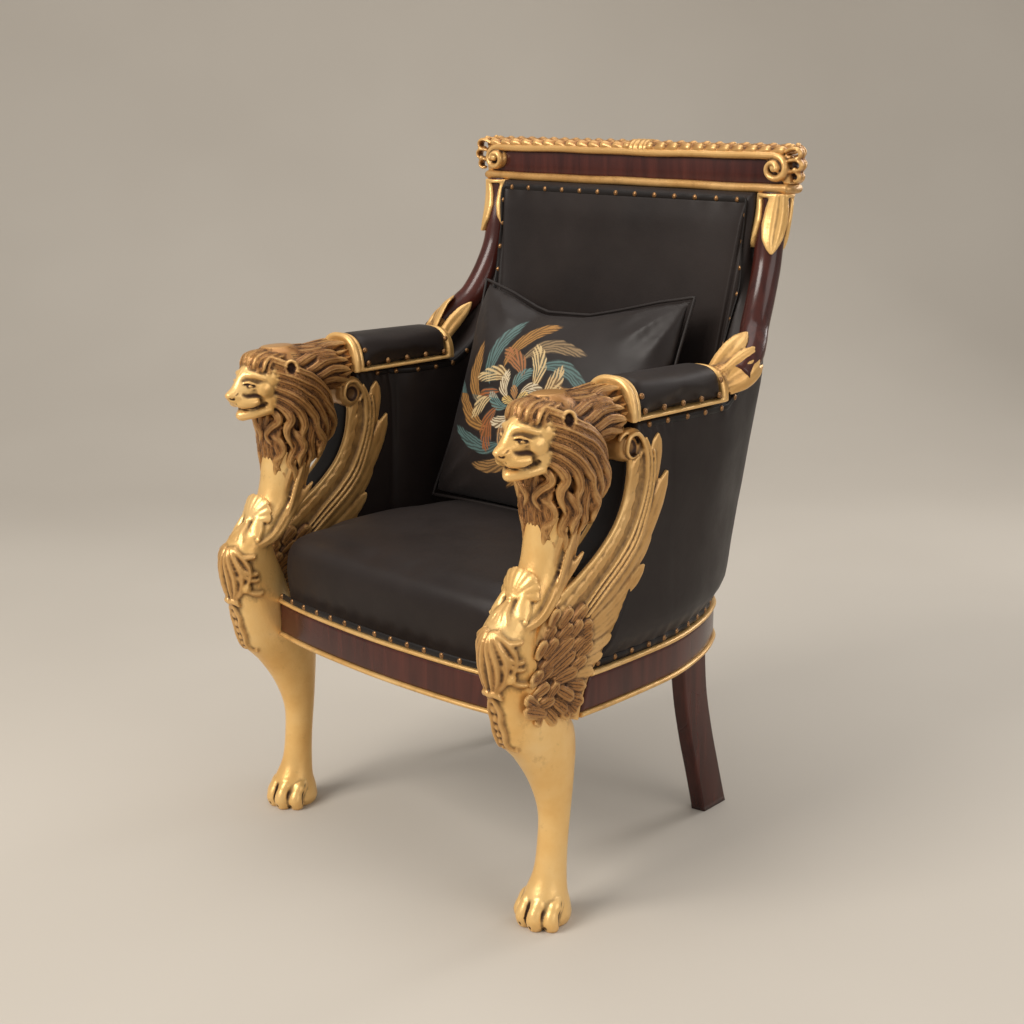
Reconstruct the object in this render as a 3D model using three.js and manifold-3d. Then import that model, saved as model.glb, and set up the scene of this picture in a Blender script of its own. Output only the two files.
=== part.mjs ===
// Lion-monopodia tub armchair (a throne chair), millimetres, +Z up, front towards -Y.
// The carved pieces are worked out from profiles (height, centre, half sizes) swept into closed lofts.
import * as THREE from 'three';
import { mergeVertices } from 'three/addons/utils/BufferGeometryUtils.js';
import Module from 'manifold-3d';

const wasm = await Module();
wasm.setup();

// ---------------------------------------------------------------- driving sizes
// The drawing has y = 0 under the front paws; the part has its origin at mid depth.
const depthShift = -224.98;
const gap = 0.4;              // clearance between neighbouring pieces
const supportX = 298;         // centre plane of each lion support
const coreIn = 284.5;         // carved slab, inner and outer face
const coreOut = 332.5;
const railLow = 329;          // seat rail, underside and top
const railHigh = 379;
const seatBase = 386.5;       // upholstery starts above the rail's top bead
const armUnder = 741;         // arm board, underside and top
const armTop = 748;
const collarFront = 138;
const padStart = 158;
const padEnd = 350;
const postRadius = 22;
const crestLow = 1042;        // crest, underside of the lower moulding
const crestHalf = 343;
const crestFront = 518;
const crestDeep = 52;
const pillowSize = 448;
const pillowThick = 140;

const gold = { color: 0xb9833a, roughness: 0.42, metalness: 0.35 };
const mahogany = { color: 0x3a1512, roughness: 0.28, metalness: 0.0 };
const leather = { color: 0x1b1817, roughness: 0.5, metalness: 0.0 };

// ---------------------------------------------------------------- geometry helpers
const TAU = Math.PI * 2;
const lerp = (a, b, t) => a + (b - a) * t;
const clamp01 = (t) => Math.min(1, Math.max(0, t));

// A value read from a table of rows [key, v1, v2, ...], eased between the rows.
function readTable(rows, key) {
  let i = 0;
  while (i < rows.length - 2 && key > rows[i + 1][0]) i += 1;
  const t = clamp01((key - rows[i][0]) / (rows[i + 1][0] - rows[i][0]));
  return rows[i].slice(1).map((v, k) => lerp(v, rows[i + 1][k + 1], t));
}

function signedVolume(pos, tri) {
  let v = 0;
  for (let i = 0; i < tri.length; i += 3) {
    const [a, b, c] = [pos[tri[i]], pos[tri[i + 1]], pos[tri[i + 2]]];
    v += a[0] * (b[1] * c[2] - b[2] * c[1]);
    v -= a[1] * (b[0] * c[2] - b[2] * c[0]);
    v += a[2] * (b[0] * c[1] - b[1] * c[0]);
  }
  return v / 6;
}

// A closed manifold from points and triangles, turned outside out.
function toSolid(pos, tri) {
  const order = signedVolume(pos, tri) > 0 ? [0, 1, 2] : [0, 2, 1];
  const index = [];
  for (let i = 0; i < tri.length; i += 3) order.forEach((k) => index.push(tri[i + k]));
  const geometry = new THREE.BufferGeometry();
  geometry.setAttribute('position', new THREE.Float32BufferAttribute(pos.flat(), 3));
  geometry.setIndex(index);
  const merged = mergeVertices(geometry, 1e-4);
  return new wasm.Manifold(new wasm.Mesh({
    numProp: 3,
    vertProperties: new Float32Array(merged.attributes.position.array),
    triVerts: new Uint32Array(merged.index.array),
  }));
}

// Loft through rings of equal point count, each end closed by a fan round its middle.
function loft(rings) {
  const n = rings[0].length;
  const pos = rings.flat();
  const tri = [];
  for (let r = 0; r < rings.length - 1; r += 1) {
    for (let k = 0; k < n; k += 1) {
      const a = r * n + k;
      const b = r * n + ((k + 1) % n);
      tri.push(a, b, b + n, a, b + n, a + n);
    }
  }
  const close = (ring, base, flip) => {
    const mid = [0, 1, 2].map((c) => ring.reduce((s, p) => s + p[c], 0) / n);
    pos.push(mid);
    for (let k = 0; k < n; k += 1) {
      const next = (k + 1) % n;
      tri.push(pos.length - 1, base + (flip ? next : k), base + (flip ? k : next));
    }
  };
  close(rings[0], 0, true);
  close(rings[rings.length - 1], (rings.length - 1) * n, false);
  return toSolid(pos, tri);
}

// Loft whose end rings are strips: point k faces point n-1-k, so both ends are closed by quads.
function stripLoft(rings) {
  const n = rings[0].length;
  const pos = rings.flat();
  const tri = [];
  for (let r = 0; r < rings.length - 1; r += 1) {
    for (let k = 0; k < n; k += 1) {
      const a = r * n + k;
      const b = r * n + ((k + 1) % n);
      tri.push(a, b, b + n, a, b + n, a + n);
    }
  }
  [[0, true], [(rings.length - 1) * n, false]].forEach(([base, flip]) => {
    for (let k = 0; k < n / 2 - 1; k += 1) {
      const q = [base + k, base + k + 1, base + n - 2 - k, base + n - 1 - k];
      if (flip) q.reverse();
      tri.push(q[0], q[1], q[2], q[0], q[2], q[3]);
    }
  });
  return toSolid(pos, tri);
}

// Straight prism over a flat outline; place(a, b, h) puts outline point (a, b) at height h.
function prism(outline, low, high, place) {
  const flat = outline.map(([a, b]) => new THREE.Vector2(a, b));
  const faces = THREE.ShapeUtils.triangulateShape(flat, []);
  const n = outline.length;
  const pos = [...outline.map(([a, b]) => place(a, b, low)), ...outline.map(([a, b]) => place(a, b, high))];
  const ccw = THREE.ShapeUtils.area(flat) > 0;
  const tri = [];
  faces.forEach(([a, b, c]) => tri.push(a, c, b, a + n, b + n, c + n));
  for (let k = 0; k < n; k += 1) {
    const m = (k + 1) % n;
    tri.push(...(ccw ? [k, m, m + n, k, m + n, k + n] : [m, k, m + n, k, k + n, m + n]));
  }
  return toSolid(pos, tri);
}
const alongX = (y, z, x) => [x, y, z];
const alongZ = (x, y, z) => [x, y, z];

function smooth(points, count) {
  const curve = new THREE.SplineCurve(points.map(([a, b]) => new THREE.Vector2(a, b)));
  return curve.getPoints(count).map((p) => [p.x, p.y]);
}
function smooth3(points, count) {
  const curve = new THREE.CatmullRomCurve3(points.map((p) => new THREE.Vector3(...p)), false, 'centripetal');
  return curve.getPoints(count).map((p) => [p.x, p.y, p.z]);
}

function ellipsoid(centre, radii, around = 8, rows = 5) {
  const rings = [];
  for (let r = 1; r < rows; r += 1) {
    const a = (Math.PI * r) / rows;
    rings.push(Array.from({ length: around }, (_, k) => [
      centre[0] + radii[0] * Math.sin(a) * Math.cos((TAU * k) / around),
      centre[1] + radii[1] * Math.sin(a) * Math.sin((TAU * k) / around),
      centre[2] + radii[2] * Math.cos(a),
    ]));
  }
  return loft(rings);
}

// Tapered bar along a 3-D path; size(t) gives [half width, half height]; the width lies along `side`.
function bar(path, size, side, corners = 6) {
  const sideV = new THREE.Vector3(...side);
  const rings = path.map((p, i) => {
    const t = i / (path.length - 1);
    const a = new THREE.Vector3(...path[Math.max(0, i - 1)]);
    const b = new THREE.Vector3(...path[Math.min(path.length - 1, i + 1)]);
    const dir = b.sub(a).normalize();
    const w = sideV.clone().addScaledVector(dir, -sideV.dot(dir)).normalize();
    const h = new THREE.Vector3().crossVectors(dir, w);
    const [sw, sh] = size(t);
    return Array.from({ length: corners }, (_, k) => {
      const c = Math.cos((TAU * k) / corners) * sw;
      const s = Math.sin((TAU * k) / corners) * sh;
      return [p[0] + w.x * c + h.x * s, p[1] + w.y * c + h.y * s, p[2] + w.z * c + h.z * s];
    });
  });
  return loft(rings);
}

const join = (list) => list.reduce((a, b) => a.add(b));

// Joins leave slivers. Edges whose closing moves the surface least are closed up, cheapest first,
// until `target` triangles and no edge under `shortEdge` are left.
const shortEdge = 0.5;
function tidied(body, target) {
  const mesh = body.getMesh();
  const pos = [];
  for (let i = 0; i < mesh.vertProperties.length; i += mesh.numProp) {
    pos.push(new THREE.Vector3(...mesh.vertProperties.subarray(i, i + 3)));
  }
  const tris = [];
  for (let i = 0; i < mesh.triVerts.length; i += 3) tris.push(Array.from(mesh.triVerts.subarray(i, i + 3)));
  const fans = pos.map(() => new Set());
  tris.forEach((t, i) => t.forEach((v) => fans[v].add(i)));
  const between = (from, to) => new THREE.Vector3().subVectors(to, from);
  const cross = ([a, b, c]) => between(a, b).cross(between(a, c));
  // Sum of squared distances to the planes round each point, kept as [nx, ny, nz, d, weight] rows.
  const planes = pos.map(() => []);
  tris.forEach((t) => {
    const corners = t.map((v) => pos[v]);
    const n = cross(corners);
    const area = n.length();
    if (area < 1e-6) return;
    n.divideScalar(area);
    t.forEach((v) => planes[v].push([n, -n.dot(corners[0]), area]));
  });
  const costAt = (p, a, b) => [...planes[a], ...planes[b]].reduce(
    (sum, [n, d, w]) => sum + w * (n.dot(p) + d) ** 2,
    0,
  );
  const ring = (v) => new Set([...fans[v]].flatMap((i) => tris[i]).filter((u) => u !== v));
  const keepsShape = (v, other, p) => [...fans[v]].every((i) => {
    if (tris[i].includes(other)) return true;
    const before = tris[i].map((u) => pos[u]);
    const after = tris[i].map((u) => (u === v ? p : pos[u]));
    const n0 = cross(before);
    const n1 = cross(after);
    const longest = (corners) => Math.max(...corners.map((q, k) => q.distanceTo(corners[(k + 1) % 3])));
    const wasThin = n0.length() < 0.1 * longest(before);
    if (!wasThin && n1.length() < 0.1 * longest(after)) return false;
    return wasThin || n0.dot(n1) > 0.35 * n0.length() * n1.length();
  });
  let count = tris.length;
  for (let pass = 0; pass < 60; pass += 1) {
    const edges = [];
    const onlyShort = count <= target;
    tris.forEach((t) => t && [0, 1, 2].forEach((k) => {
      const [a, b] = [t[k], t[(k + 1) % 3]];
      if (a > b) return;
      const length = pos[a].distanceTo(pos[b]);
      if (onlyShort && length > shortEdge) return;
      const spots = [pos[a], pos[b], pos[a].clone().lerp(pos[b], 0.5)];
      const costs = spots.map((p) => costAt(p, a, b));
      const best = costs.indexOf(Math.min(...costs));
      const cost = length < shortEdge ? -1 : costs[best] + 0.02 * length ** 2;
      edges.push({ a, b, p: spots[best].clone(), cost });
    }));
    edges.sort((u, v) => u.cost - v.cost);
    const touched = new Set();
    let closed = 0;
    edges.slice(0, Math.ceil(edges.length * (onlyShort ? 1 : 0.25))).forEach(({ a, b, p, cost }) => {
      if ((count <= target && cost >= 0) || touched.has(a) || touched.has(b)) return;
      const near = ring(a);
      const far = ring(b);
      const shared = [...near].filter((v) => far.has(v));
      if (shared.length !== 2 || shared.some((v) => fans[v].size <= 3)) return;
      if (!keepsShape(a, b, p) || !keepsShape(b, a, p)) return;
      [...near, ...far].forEach((v) => touched.add(v));
      pos[a].copy(p);
      planes[a].push(...planes[b]);
      [...fans[b]].forEach((i) => {
        if (tris[i].includes(a)) {
          tris[i].forEach((v) => fans[v].delete(i));
          tris[i] = null;
          count -= 1;
          return;
        }
        tris[i] = tris[i].map((v) => (v === b ? a : v));
        fans[a].add(i);
      });
      fans[b].clear();
      closed += 1;
    });
    if (closed === 0) break;
  }
  return toSolid(pos.map((p) => p.toArray()), tris.filter(Boolean).flat());
}

function mirrored(body) {
  const mesh = body.getMesh();
  const v = mesh.vertProperties;
  const pos = [];
  for (let i = 0; i < v.length; i += mesh.numProp) pos.push([-v[i], v[i + 1], v[i + 2]]);
  return toSolid(pos, Array.from(mesh.triVerts));
}

// ---------------------------------------------------------------- lion support
// Front leg, chest and neck: height, centre depth, half width, half depth.
const legRows = [
  [0, 16, 34, 42], [16, 13, 37, 44], [50, 15, 30, 33], [80, 23, 24, 26],
  [125, 28, 22, 24], [175, 31, 23, 27],
  [225, 24, 29, 38], [272, 10, 34, 55], [308, -9, 36, 68], [350, -30, 37, 60], [430, -56, 36, 54],
  [468, -64, 35, 46], [492, -53, 34, 38], [530, -15, 31, 33], [562, 3, 31, 32], [628, 20, 35, 37],
];
function legAndNeck() {
  return loft(legRows.map(([z, yc, a, b]) => Array.from({ length: 12 }, (_, k) => {
    const t = (TAU * k) / 12;
    return [supportX + a * Math.cos(t), yc + b * Math.sin(t), z];
  })));
}

// Three toes with knuckles and claws on each paw.
function toes() {
  return [-1, 0, 1].map((s) => {
    const x = supportX + s * 24;
    const out = s === 0 ? 0 : 8;
    return bar(
      [[x - s * 6, 4, 34], [x, -22 + out, 30], [x + s, -38 + out, 19], [x + s, -44 + out, 6]],
      (t) => [readTable([[0, 12], [0.35, 14], [0.75, 12.5], [1, 8]], t)[0], lerp(12, 8, t)],
      [1, 0, 0],
      6,
    );
  });
}

// Face: a loft from nose to nape, then brows, cheeks, jaw, ears.
const faceRows = [
  [-93, 722, 737, 10], [-88, 711, 742, 18], [-74, 705, 752, 25], [-58, 702, 778, 31], [-34, 700, 792, 40],
  [0, 690, 797, 45],
];
function face() {
  const skull = loft(faceRows.map(([y, low, high, half]) => Array.from({ length: 10 }, (_, k) => {
    const t = (TAU * (k + 0.5)) / 10;
    const c = Math.cos(t);
    const s = Math.sin(t);
    const square = (v) => Math.sign(v) * Math.abs(v) ** 0.8;
    return [supportX + half * square(c), y, (low + high) / 2 + ((high - low) / 2) * square(s)];
  })));
  const jaw = ellipsoid([supportX, -44, 692], [22, 30, 11], 8, 4);
  const pair = (make) => [make(1), make(-1)];
  const brows = pair((s) => bar(
    [[supportX + s * 6, -72, 758], [supportX + s * 18, -66, 767], [supportX + s * 33, -48, 762]],
    (t) => [8 - 3 * t, 7],
    [0, 0, 1],
    4,
  ));
  const muzzle = pair((s) => ellipsoid([supportX + s * 12, -74, 719], [14, 17, 12], 6, 4));
  const ears = pair((s) => bar(
    [[supportX + s * 34, 18, 752], [supportX + s * 45, 14, 764], [supportX + s * 46, 12, 776]],
    (t) => [14 - 6 * t, 6],
    [0, 1, 0],
    5,
  ));
  return [skull, jaw, ...brows, ...muzzle, ...ears];
}

// Mane round the head: height, centre depth, half width, half depth, cut into wavy locks.
const maneRows = [
  [598, 24, 30, 30], [616, 28, 43, 46], [640, 32, 49, 58], [675, 33, 53, 64],
  [712, 31, 55, 63], [748, 28, 53, 60],
  [778, 20, 44, 55], [799, 10, 22, 30],
];
const maneLocks = 8;
function mane() {
  const around = maneLocks * 2;
  return loft(maneRows.map(([z, yc, a, b], row) => Array.from({ length: around }, (_, k) => {
    const wave = 0.12 * Math.sin(row * 1.5);
    const t = (TAU * k) / around + wave;
    const groove = k % 2 === 0 ? 1.045 : 0.9;
    return [supportX + a * groove * Math.cos(t), yc + b * groove * Math.sin(t), z];
  })));
}

// Mane sweeping back into the arm's front collar: depth, centre height, half height, half width.
const crownRows = [[24, 754, 42, 46], [65, 756, 41, 44], [100, 755, 40, 41], [137.5, 758, 40, 40]];
function crown() {
  const around = 12;
  return loft(crownRows.map(([y, zc, h, w], row) => Array.from({ length: around }, (_, k) => {
    const t = (TAU * k) / around + row * 0.12;
    const groove = k % 2 === 0 ? 1.03 : 0.92;
    return [supportX + w * groove * Math.cos(t), y, zc + h * groove * Math.sin(t)];
  })));
}

// Slab between the wings: (depth, height) along its front and its back.
const slabFront = [
  [-40, 352], [-52, 425], [-40, 470], [-8, 506], [42, 532],
  [85, 559], [120, 591], [140, 626], [148, 660],
];
const slabBack = [
  [176, 712], [190, 682], [197, 640], [187, 585], [162, 528],
  [128, 468], [96, 412], [68, 380], [52, 345], [46, 318],
];
const slabFrontRun = smooth(slabFront, 11);
function slab() {
  const outline = [...slabFrontRun, [150, 700], ...smooth(slabBack, 9), [0, 316]];
  return prism(outline, coreIn, coreOut, alongX);
}

const voluteY = 156;
const voluteZ = 703;
const voluteR = 20;
function volute() {
  const profile = [[coreIn - 7.6, 9], [coreIn - 6.1, 18], [coreIn - 2.7, voluteR]];
  const rows = [...profile, ...profile.map(([x, r]) => [coreIn + coreOut - x, r]).reverse()];
  return loft(rows.map(([x, r]) => Array.from({ length: 12 }, (_, k) => [
    x,
    voluteY + r * Math.cos((TAU * k) / 12),
    voluteZ + r * Math.sin((TAU * k) / 12),
  ])));
}

// Wing: leading and trailing edge (depth, height) from root to tip. Rows near the root are raised
// like overlapping scales; above them long feathers run up as ridges.
const leadEdge = [
  [-34, 352], [-41, 378], [-45, 404], [-46, 430], [-42, 456], [-28, 482], [0, 510], [42, 532], [85, 559],
  [120, 591], [140, 626], [151, 658], [180, 684],
];
const trailEdge = [
  [30, 336], [48, 352], [64, 376], [82, 398], [98, 420], [116, 442], [134, 460], [160, 490], [180, 520],
  [192, 566], [229, 618], [228, 655], [210, 712],
];
const scaleRows = 6;
function wing(face, outward, first, featherRidges) {
  const rings = [];
  for (let i = first; i < leadEdge.length; i += 1) {
    const a = leadEdge[i];
    const b = trailEdge[i];
    const ring = [];
    for (let k = 0; k <= featherRidges * 2; k += 1) {
      const v = k / (featherRidges * 2);
      const raised = i < scaleRows ? (i + k) % 2 === 1 : k % 2 === 1;
      ring.push([face + outward * (raised ? 7.5 : 3.5), lerp(a[0], b[0], v), lerp(a[1], b[1], v)]);
    }
    ring.push([face, b[0], b[1]]);
    ring.push([face, a[0], a[1]]);
    rings.push(ring);
  }
  return loft(rings);
}

// Scallop with flutes on the chest, and a leaf drop down the front of the leg.
function chestCarving() {
  const up = [0, -0.73, 0.68];
  const flutes = 10;
  const scallop = loft(Array.from({ length: flutes + 1 }, (_, k) => {
    const a = lerp(-1.15, 1.15, k / flutes);
    const spot = (r, lift) => [
      supportX + r * Math.sin(a) + up[0] * lift,
      -91 + r * 0.8 * Math.cos(a) + 9 * Math.abs(Math.sin(a)) * (r / 44) + up[1] * lift,
      491 + r * 0.86 * Math.cos(a) + up[2] * lift,
    ];
    return [spot(5, -7), spot(5, 3), spot(44, k % 2 === 1 ? 6.5 : 2), spot(44, -9)];
  }));
  const drop = bar(
    [[supportX, -92, 484], [supportX, -117, 452], [supportX, -112, 400], [supportX, -84, 322]],
    (t) => [readTable([[0, 6], [0.3, 13], [0.6, 15], [1, 2]], t)[0], 6],
    [1, 0, 0],
    6,
  );
  return [scallop, drop];
}

function lionSupport() {
  return join([
    legAndNeck(),
    ...toes(),
    ...face(),
    mane(),
    crown(),
    slab(),
    volute(),
    wing(coreOut - 1, 1, 0, 5),
    wing(coreIn + 1, -1, 6, 4),
    ...chestCarving(),
  ]);
}

// Black facing strip let on to the slab's front edge.
function facing() {
  const run = slabFrontRun.filter(([, z]) => z > 534);
  const rings = run.map(([y, z], i) => {
    const a = run[Math.max(0, i - 1)];
    const b = run[Math.min(run.length - 1, i + 1)];
    const len = Math.hypot(b[0] - a[0], b[1] - a[1]);
    const n = [-(b[1] - a[1]) / len, (b[0] - a[0]) / len];
    const at = (x, d) => [x, y + n[0] * d, z + n[1] * d];
    return [at(coreIn + 4, 0.8), at(coreIn + 4, 2.6), at(coreOut - 4, 2.6), at(coreOut - 4, 0.8)];
  });
  return loft(rings);
}

// Everything in front of the slab's back edge, used to trim the rail and the upholstery.
function supportEnvelope() {
  const back = smooth(slabBack, 9).map(([y, z]) => [y + 3 * gap, z]);
  const roll = Array.from({ length: 5 }, (_, k) => {
    const a = Math.PI * (0.5 - 0.085 * k);
    return [voluteY + (voluteR + 3 * gap) * Math.cos(a), voluteZ + (voluteR + 3 * gap) * Math.sin(a)];
  });
  const outline = [[-220, 300], [-220, 760], [voluteY, 760], ...roll, ...back, [46 + 3 * gap, 300]];
  return prism(outline, 256, 352, alongX);
}

// ---------------------------------------------------------------- seat rail
// Half plan of the rail's outer face, from the front corner round to the middle of the back.
const railPlan = [
  [331, 30], [332, 110], [330, 200], [325, 268], [313, 326], [293, 388], [268, 440], [246, 472], [212, 498],
  [150, 513], [0, 521],
];
const frontPlan = [[-256, -28], [-190, -38], [-100, -45], [0, -48], [100, -45], [190, -38], [256, -28]];

function offsetRun(run, d) {
  return run.map(([x, y], i) => {
    const a = run[Math.max(0, i - 1)];
    const b = run[Math.min(run.length - 1, i + 1)];
    const len = Math.hypot(b[0] - a[0], b[1] - a[1]);
    return [x + ((b[1] - a[1]) / len) * d, y - ((b[0] - a[0]) / len) * d];
  });
}
const sideRun = [...railPlan, ...railPlan.slice(0, -1).reverse().map(([x, y]) => [-x, y])];

function railSection(run, section) {
  const offsets = section.map(([d]) => offsetRun(run, d));
  return loft(run.map((_, i) => section.map(([, z], k) => [...offsets[k][i], z])));
}
const railShape = [
  [0, railLow], [1.5, railLow + 6], [1.5, railHigh - 6],
  [0, railHigh], [-30, railHigh], [-30, railLow],
];
const lowBead = [[-3, 322.5], [3, 322], [6, 325.5], [3, 328.6], [-3, 328.6]];
const highBead = [[-8, 379.4], [2, 379.4], [5, 382.5], [2, 386], [-8, 386]];

// ---------------------------------------------------------------- rear legs
// Height, then the centre of the board and its half thickness and half depth.
const rearLegRows = [
  [0, 229, 503, 13, 33], [80, 228, 480, 13, 32], [150, 227, 460, 13, 32], [230, 226, 443, 13, 32],
  [328.5, 225, 434, 13.5, 33],
];
function rearLeg() {
  const turn = 0.16;
  return loft(rearLegRows.map(([z, xc, yc, a, b]) => {
    const corners = [[-a, -b], [a - 3, -b], [a, -b + 4], [a, b - 4], [a - 3, b], [-a, b]];
    return corners.map(([u, v]) => [
      xc + u * Math.cos(turn) - v * Math.sin(turn) * 0.3,
      yc + v * Math.cos(turn) + u * Math.sin(turn),
      z,
    ]);
  }));
}

// ---------------------------------------------------------------- upholstery
// Tub shell, half plan: outer low, outer high, inner low, inner high (x, y) and the top height.
const shellRows = [
  [331, 44, 330, 44, 286.5, 44, 286.5, 44, 740.4],
  [331, 200, 330, 200, 286.5, 200, 286.5, 200, 740.4],
  [329, 238, 331, 242, 286.5, 232, 286, 236, 740.4],
  [324, 270, 333, 285, 278, 262, 268, 272, 740.4],
  [316, 312, 333, 345, 272, 300, 264, 325, 740.4],
  [303, 356, 330, 384, 262, 338, 264, 378, 740.4],
  [287, 400, 318, 440, 246, 368, 266, 436, 772],
  [268, 436, 300, 512, 228, 394, 266, 486, 870],
  [258, 452, 267, 537, 216, 404, 265, 498, 940],
  [246, 468, 266, 556, 204, 414, 265, 506, 1041.6],
  [212, 496, 230, 568, 168, 428, 226, 509, 1041.6],
  [150, 511, 160, 570, 116, 440, 156, 506, 1041.6],
  [0, 519, 0, 570, 0, 446, 0, 503, 1041.6],
];
const shellLevels = [0, 0.09, 0.4, 0.75, 1];
const outerLean = [[0, 0], [0.09, 0.14], [0.4, 0.55], [0.75, 0.92], [1, 1]];
function shellRing(row, side) {
  const [olx, oly, ohx, ohy, ilx, ily, ihx, ihy, top] = row;
  const outer = shellLevels.map((v) => {
    const t = readTable(outerLean, v)[0];
    return [side * lerp(olx, ohx, t), lerp(oly, ohy, t), lerp(seatBase, top, v)];
  });
  const inner = shellLevels.map((v) => {
    const z = lerp(seatBase, top, v);
    return [side * lerp(ilx, ihx, v), lerp(ily, ihy, v), z];
  });
  return [...outer, ...inner.reverse()];
}
function tubUpholstery(cutters) {
  const rings = [
    ...shellRows.map((row) => shellRing(row, 1)),
    ...shellRows.slice(0, -1).reverse().map((row) => shellRing(row, -1)),
  ];
  return cutters.reduce((body, cutter) => body.subtract(cutter), stripLoft(rings));
}

// Seat: plan half width by depth, crowned top.
function seat() {
  const rows = [
    [-42, 245], [-30, 256], [40, 256], [60, 274], [200, 274],
    [290, 262], [350, 238], [398, 190], [424, 120],
  ];
  const rings = rows.map(([y, half], i) => {
    const front = i === 0 ? 0.72 : 1;
    const crown0 = 500 + 8 * Math.sin(Math.PI * clamp01((y + 42) / 466));
    return [-1, -0.96, -0.6, 0, 0.6, 0.96, 1].map((s, k) => {
      const edge = Math.abs(s) === 1;
      const bow = i <= 1 ? -8 * (1 - s * s) : 0;
      const roll = Math.abs(s) > 0.9 ? 8 : 0;
      const crowned = crown0 * (i === 0 ? 0.93 : 1) - roll;
      const z = edge ? lerp(seatBase, crown0 * front + 60, 0.5) : crowned;
      return [s * half, y + bow, z];
    }).concat([[half, y, seatBase], [-half, y, seatBase]]);
  });
  return loft(rings);
}

// ---------------------------------------------------------------- arms
// D-shaped section across the arm: flat underside, rounded top.
function armSection(y, low, high, halfW, scale) {
  const ring = [
    [-1, 0], [-1, 0.55], [-0.86, 0.86], [-0.5, 0.98], [0, 1],
    [0.5, 0.98], [0.86, 0.86], [1, 0.55], [1, 0],
  ];
  return ring.map(([u, v]) => {
    const rise = v * scale + (1 - scale) * 0.3;
    return [supportX + u * halfW * scale, y, lerp(low, high, rise)];
  });
}
function armPad() {
  const rows = [
    [padStart + gap, 798, 42], [padStart + 12, 801, 43], [260, 800, 43.5],
    [padEnd - 12, 796, 43], [padEnd - gap, 792, 40],
  ];
  return loft(rows.map(([y, high, half]) => armSection(y, armTop + gap, high, half, 1)));
}
// Post centre line, from the arm's leaves up to the crest.
const postLine = [
  [333, 404, 782], [330, 430, 802], [320, 453, 822], [310, 471, 842], [302, 495, 882],
  [297, 514, 927], [296, 522, 970], [297, 530, 1010], [298, 533, 1039.4],
];
function post(grow) {
  const top = postLine[postLine.length - 1];
  const tail = grow > 0 ? [[top[0], top[1], top[2] + 12]] : [];
  const radius = postRadius + grow;
  return bar([...smooth3(postLine, 8), ...tail], () => [radius, radius], [0, 1, -0.2], 10);
}
function armGilding() {
  const board = loft([padStart - 2, 260, padEnd + 2].map((y) => [
    [supportX - 47, y, armUnder], [supportX - 48.5, y, (armUnder + armTop) / 2], [supportX - 47, y, armTop],
    [supportX + 45, y, armTop], [supportX + 46.5, y, (armUnder + armTop) / 2], [supportX + 45, y, armUnder],
  ]));
  const frontRows = [[138, 0.97], [142, 1.03], [147.5, 0.97], [153, 1.03], [157.5, 0.97]];
  const front = loft(frontRows.map(([y, s]) => armSection(y, armUnder, 800, 44.5, s)));
  const rearRows = [[350.5, 794, 43], [356, 796, 46], [369, 786, 41]];
  const rear = loft(rearRows.map(([y, high, half]) => armSection(y, armUnder, high, half, 1)));
  const leaf = (path, wide, thick, side) => bar(
    smooth3(path, 3),
    (t) => [wide * readTable([[0, 0.7], [0.35, 1], [0.8, 0.7], [1, 0.14]], t)[0], thick],
    side,
    5,
  );
  const leaves = [
    leaf([[316, 362, 776], [322, 396, 800], [322, 430, 826], [318, 462, 848]], 21, 7, [1, 0, 0]),
    leaf([[334, 362, 762], [349, 400, 778], [353, 430, 796], [345, 458, 810]], 19, 7, [0, -0.6, 1]),
    leaf([[290, 362, 764], [302, 400, 782], [304, 430, 802], [298, 458, 822]], 16, 7, [0, -0.6, 1]),
  ];
  const stem = bar([[316, 360, 765], [322, 392, 782], [328, 416, 796]], () => [22, 20], [1, 0, 0], 8);
  return join([board, front, rear, stem, ...leaves]).subtract(post(4 * gap));
}

// ---------------------------------------------------------------- posts' leaves and crest
function postLeaves() {
  const at = (z) => readTable([[900, 299, 504], [960, 296, 520], [1010, 297, 530], [1042, 298, 533]], z);
  const skin = postRadius + gap + 2;
  const leaf = (angle, length) => {
    const rings = [0, 0.35, 0.7, 1].map((t) => {
      const z = 1041.4 - length * t;
      const [cx, cy] = at(z);
      const half = readTable([[0, 0.55], [0.35, 0.62], [0.7, 0.42], [1, 0.06]], t)[0];
      const rim = (a, r) => [cx + r * Math.cos(angle + a), cy + r * Math.sin(angle + a), z];
      return [
        rim(-half, skin), rim(0, skin), rim(half, skin),
        rim(half / 2, skin + 5), rim(0, skin + 3), rim(-half / 2, skin + 5),
      ];
    });
    return loft(rings);
  };
  const [cx, cy] = at(1038);
  const sleeve = loft([1036, 1041.4].map((z) => Array.from({ length: 12 }, (_, k) => [
    cx + Math.cos((TAU * k) / 12) * 27,
    cy + Math.sin((TAU * k) / 12) * 27,
    z,
  ])));
  const front = -Math.PI / 2;
  const leaves = [leaf(front - 0.1, 84), leaf(front + 1.35, 88), leaf(front - 1.5, 92)];
  return join([...leaves, sleeve.subtract(post(gap))]);
}

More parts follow.
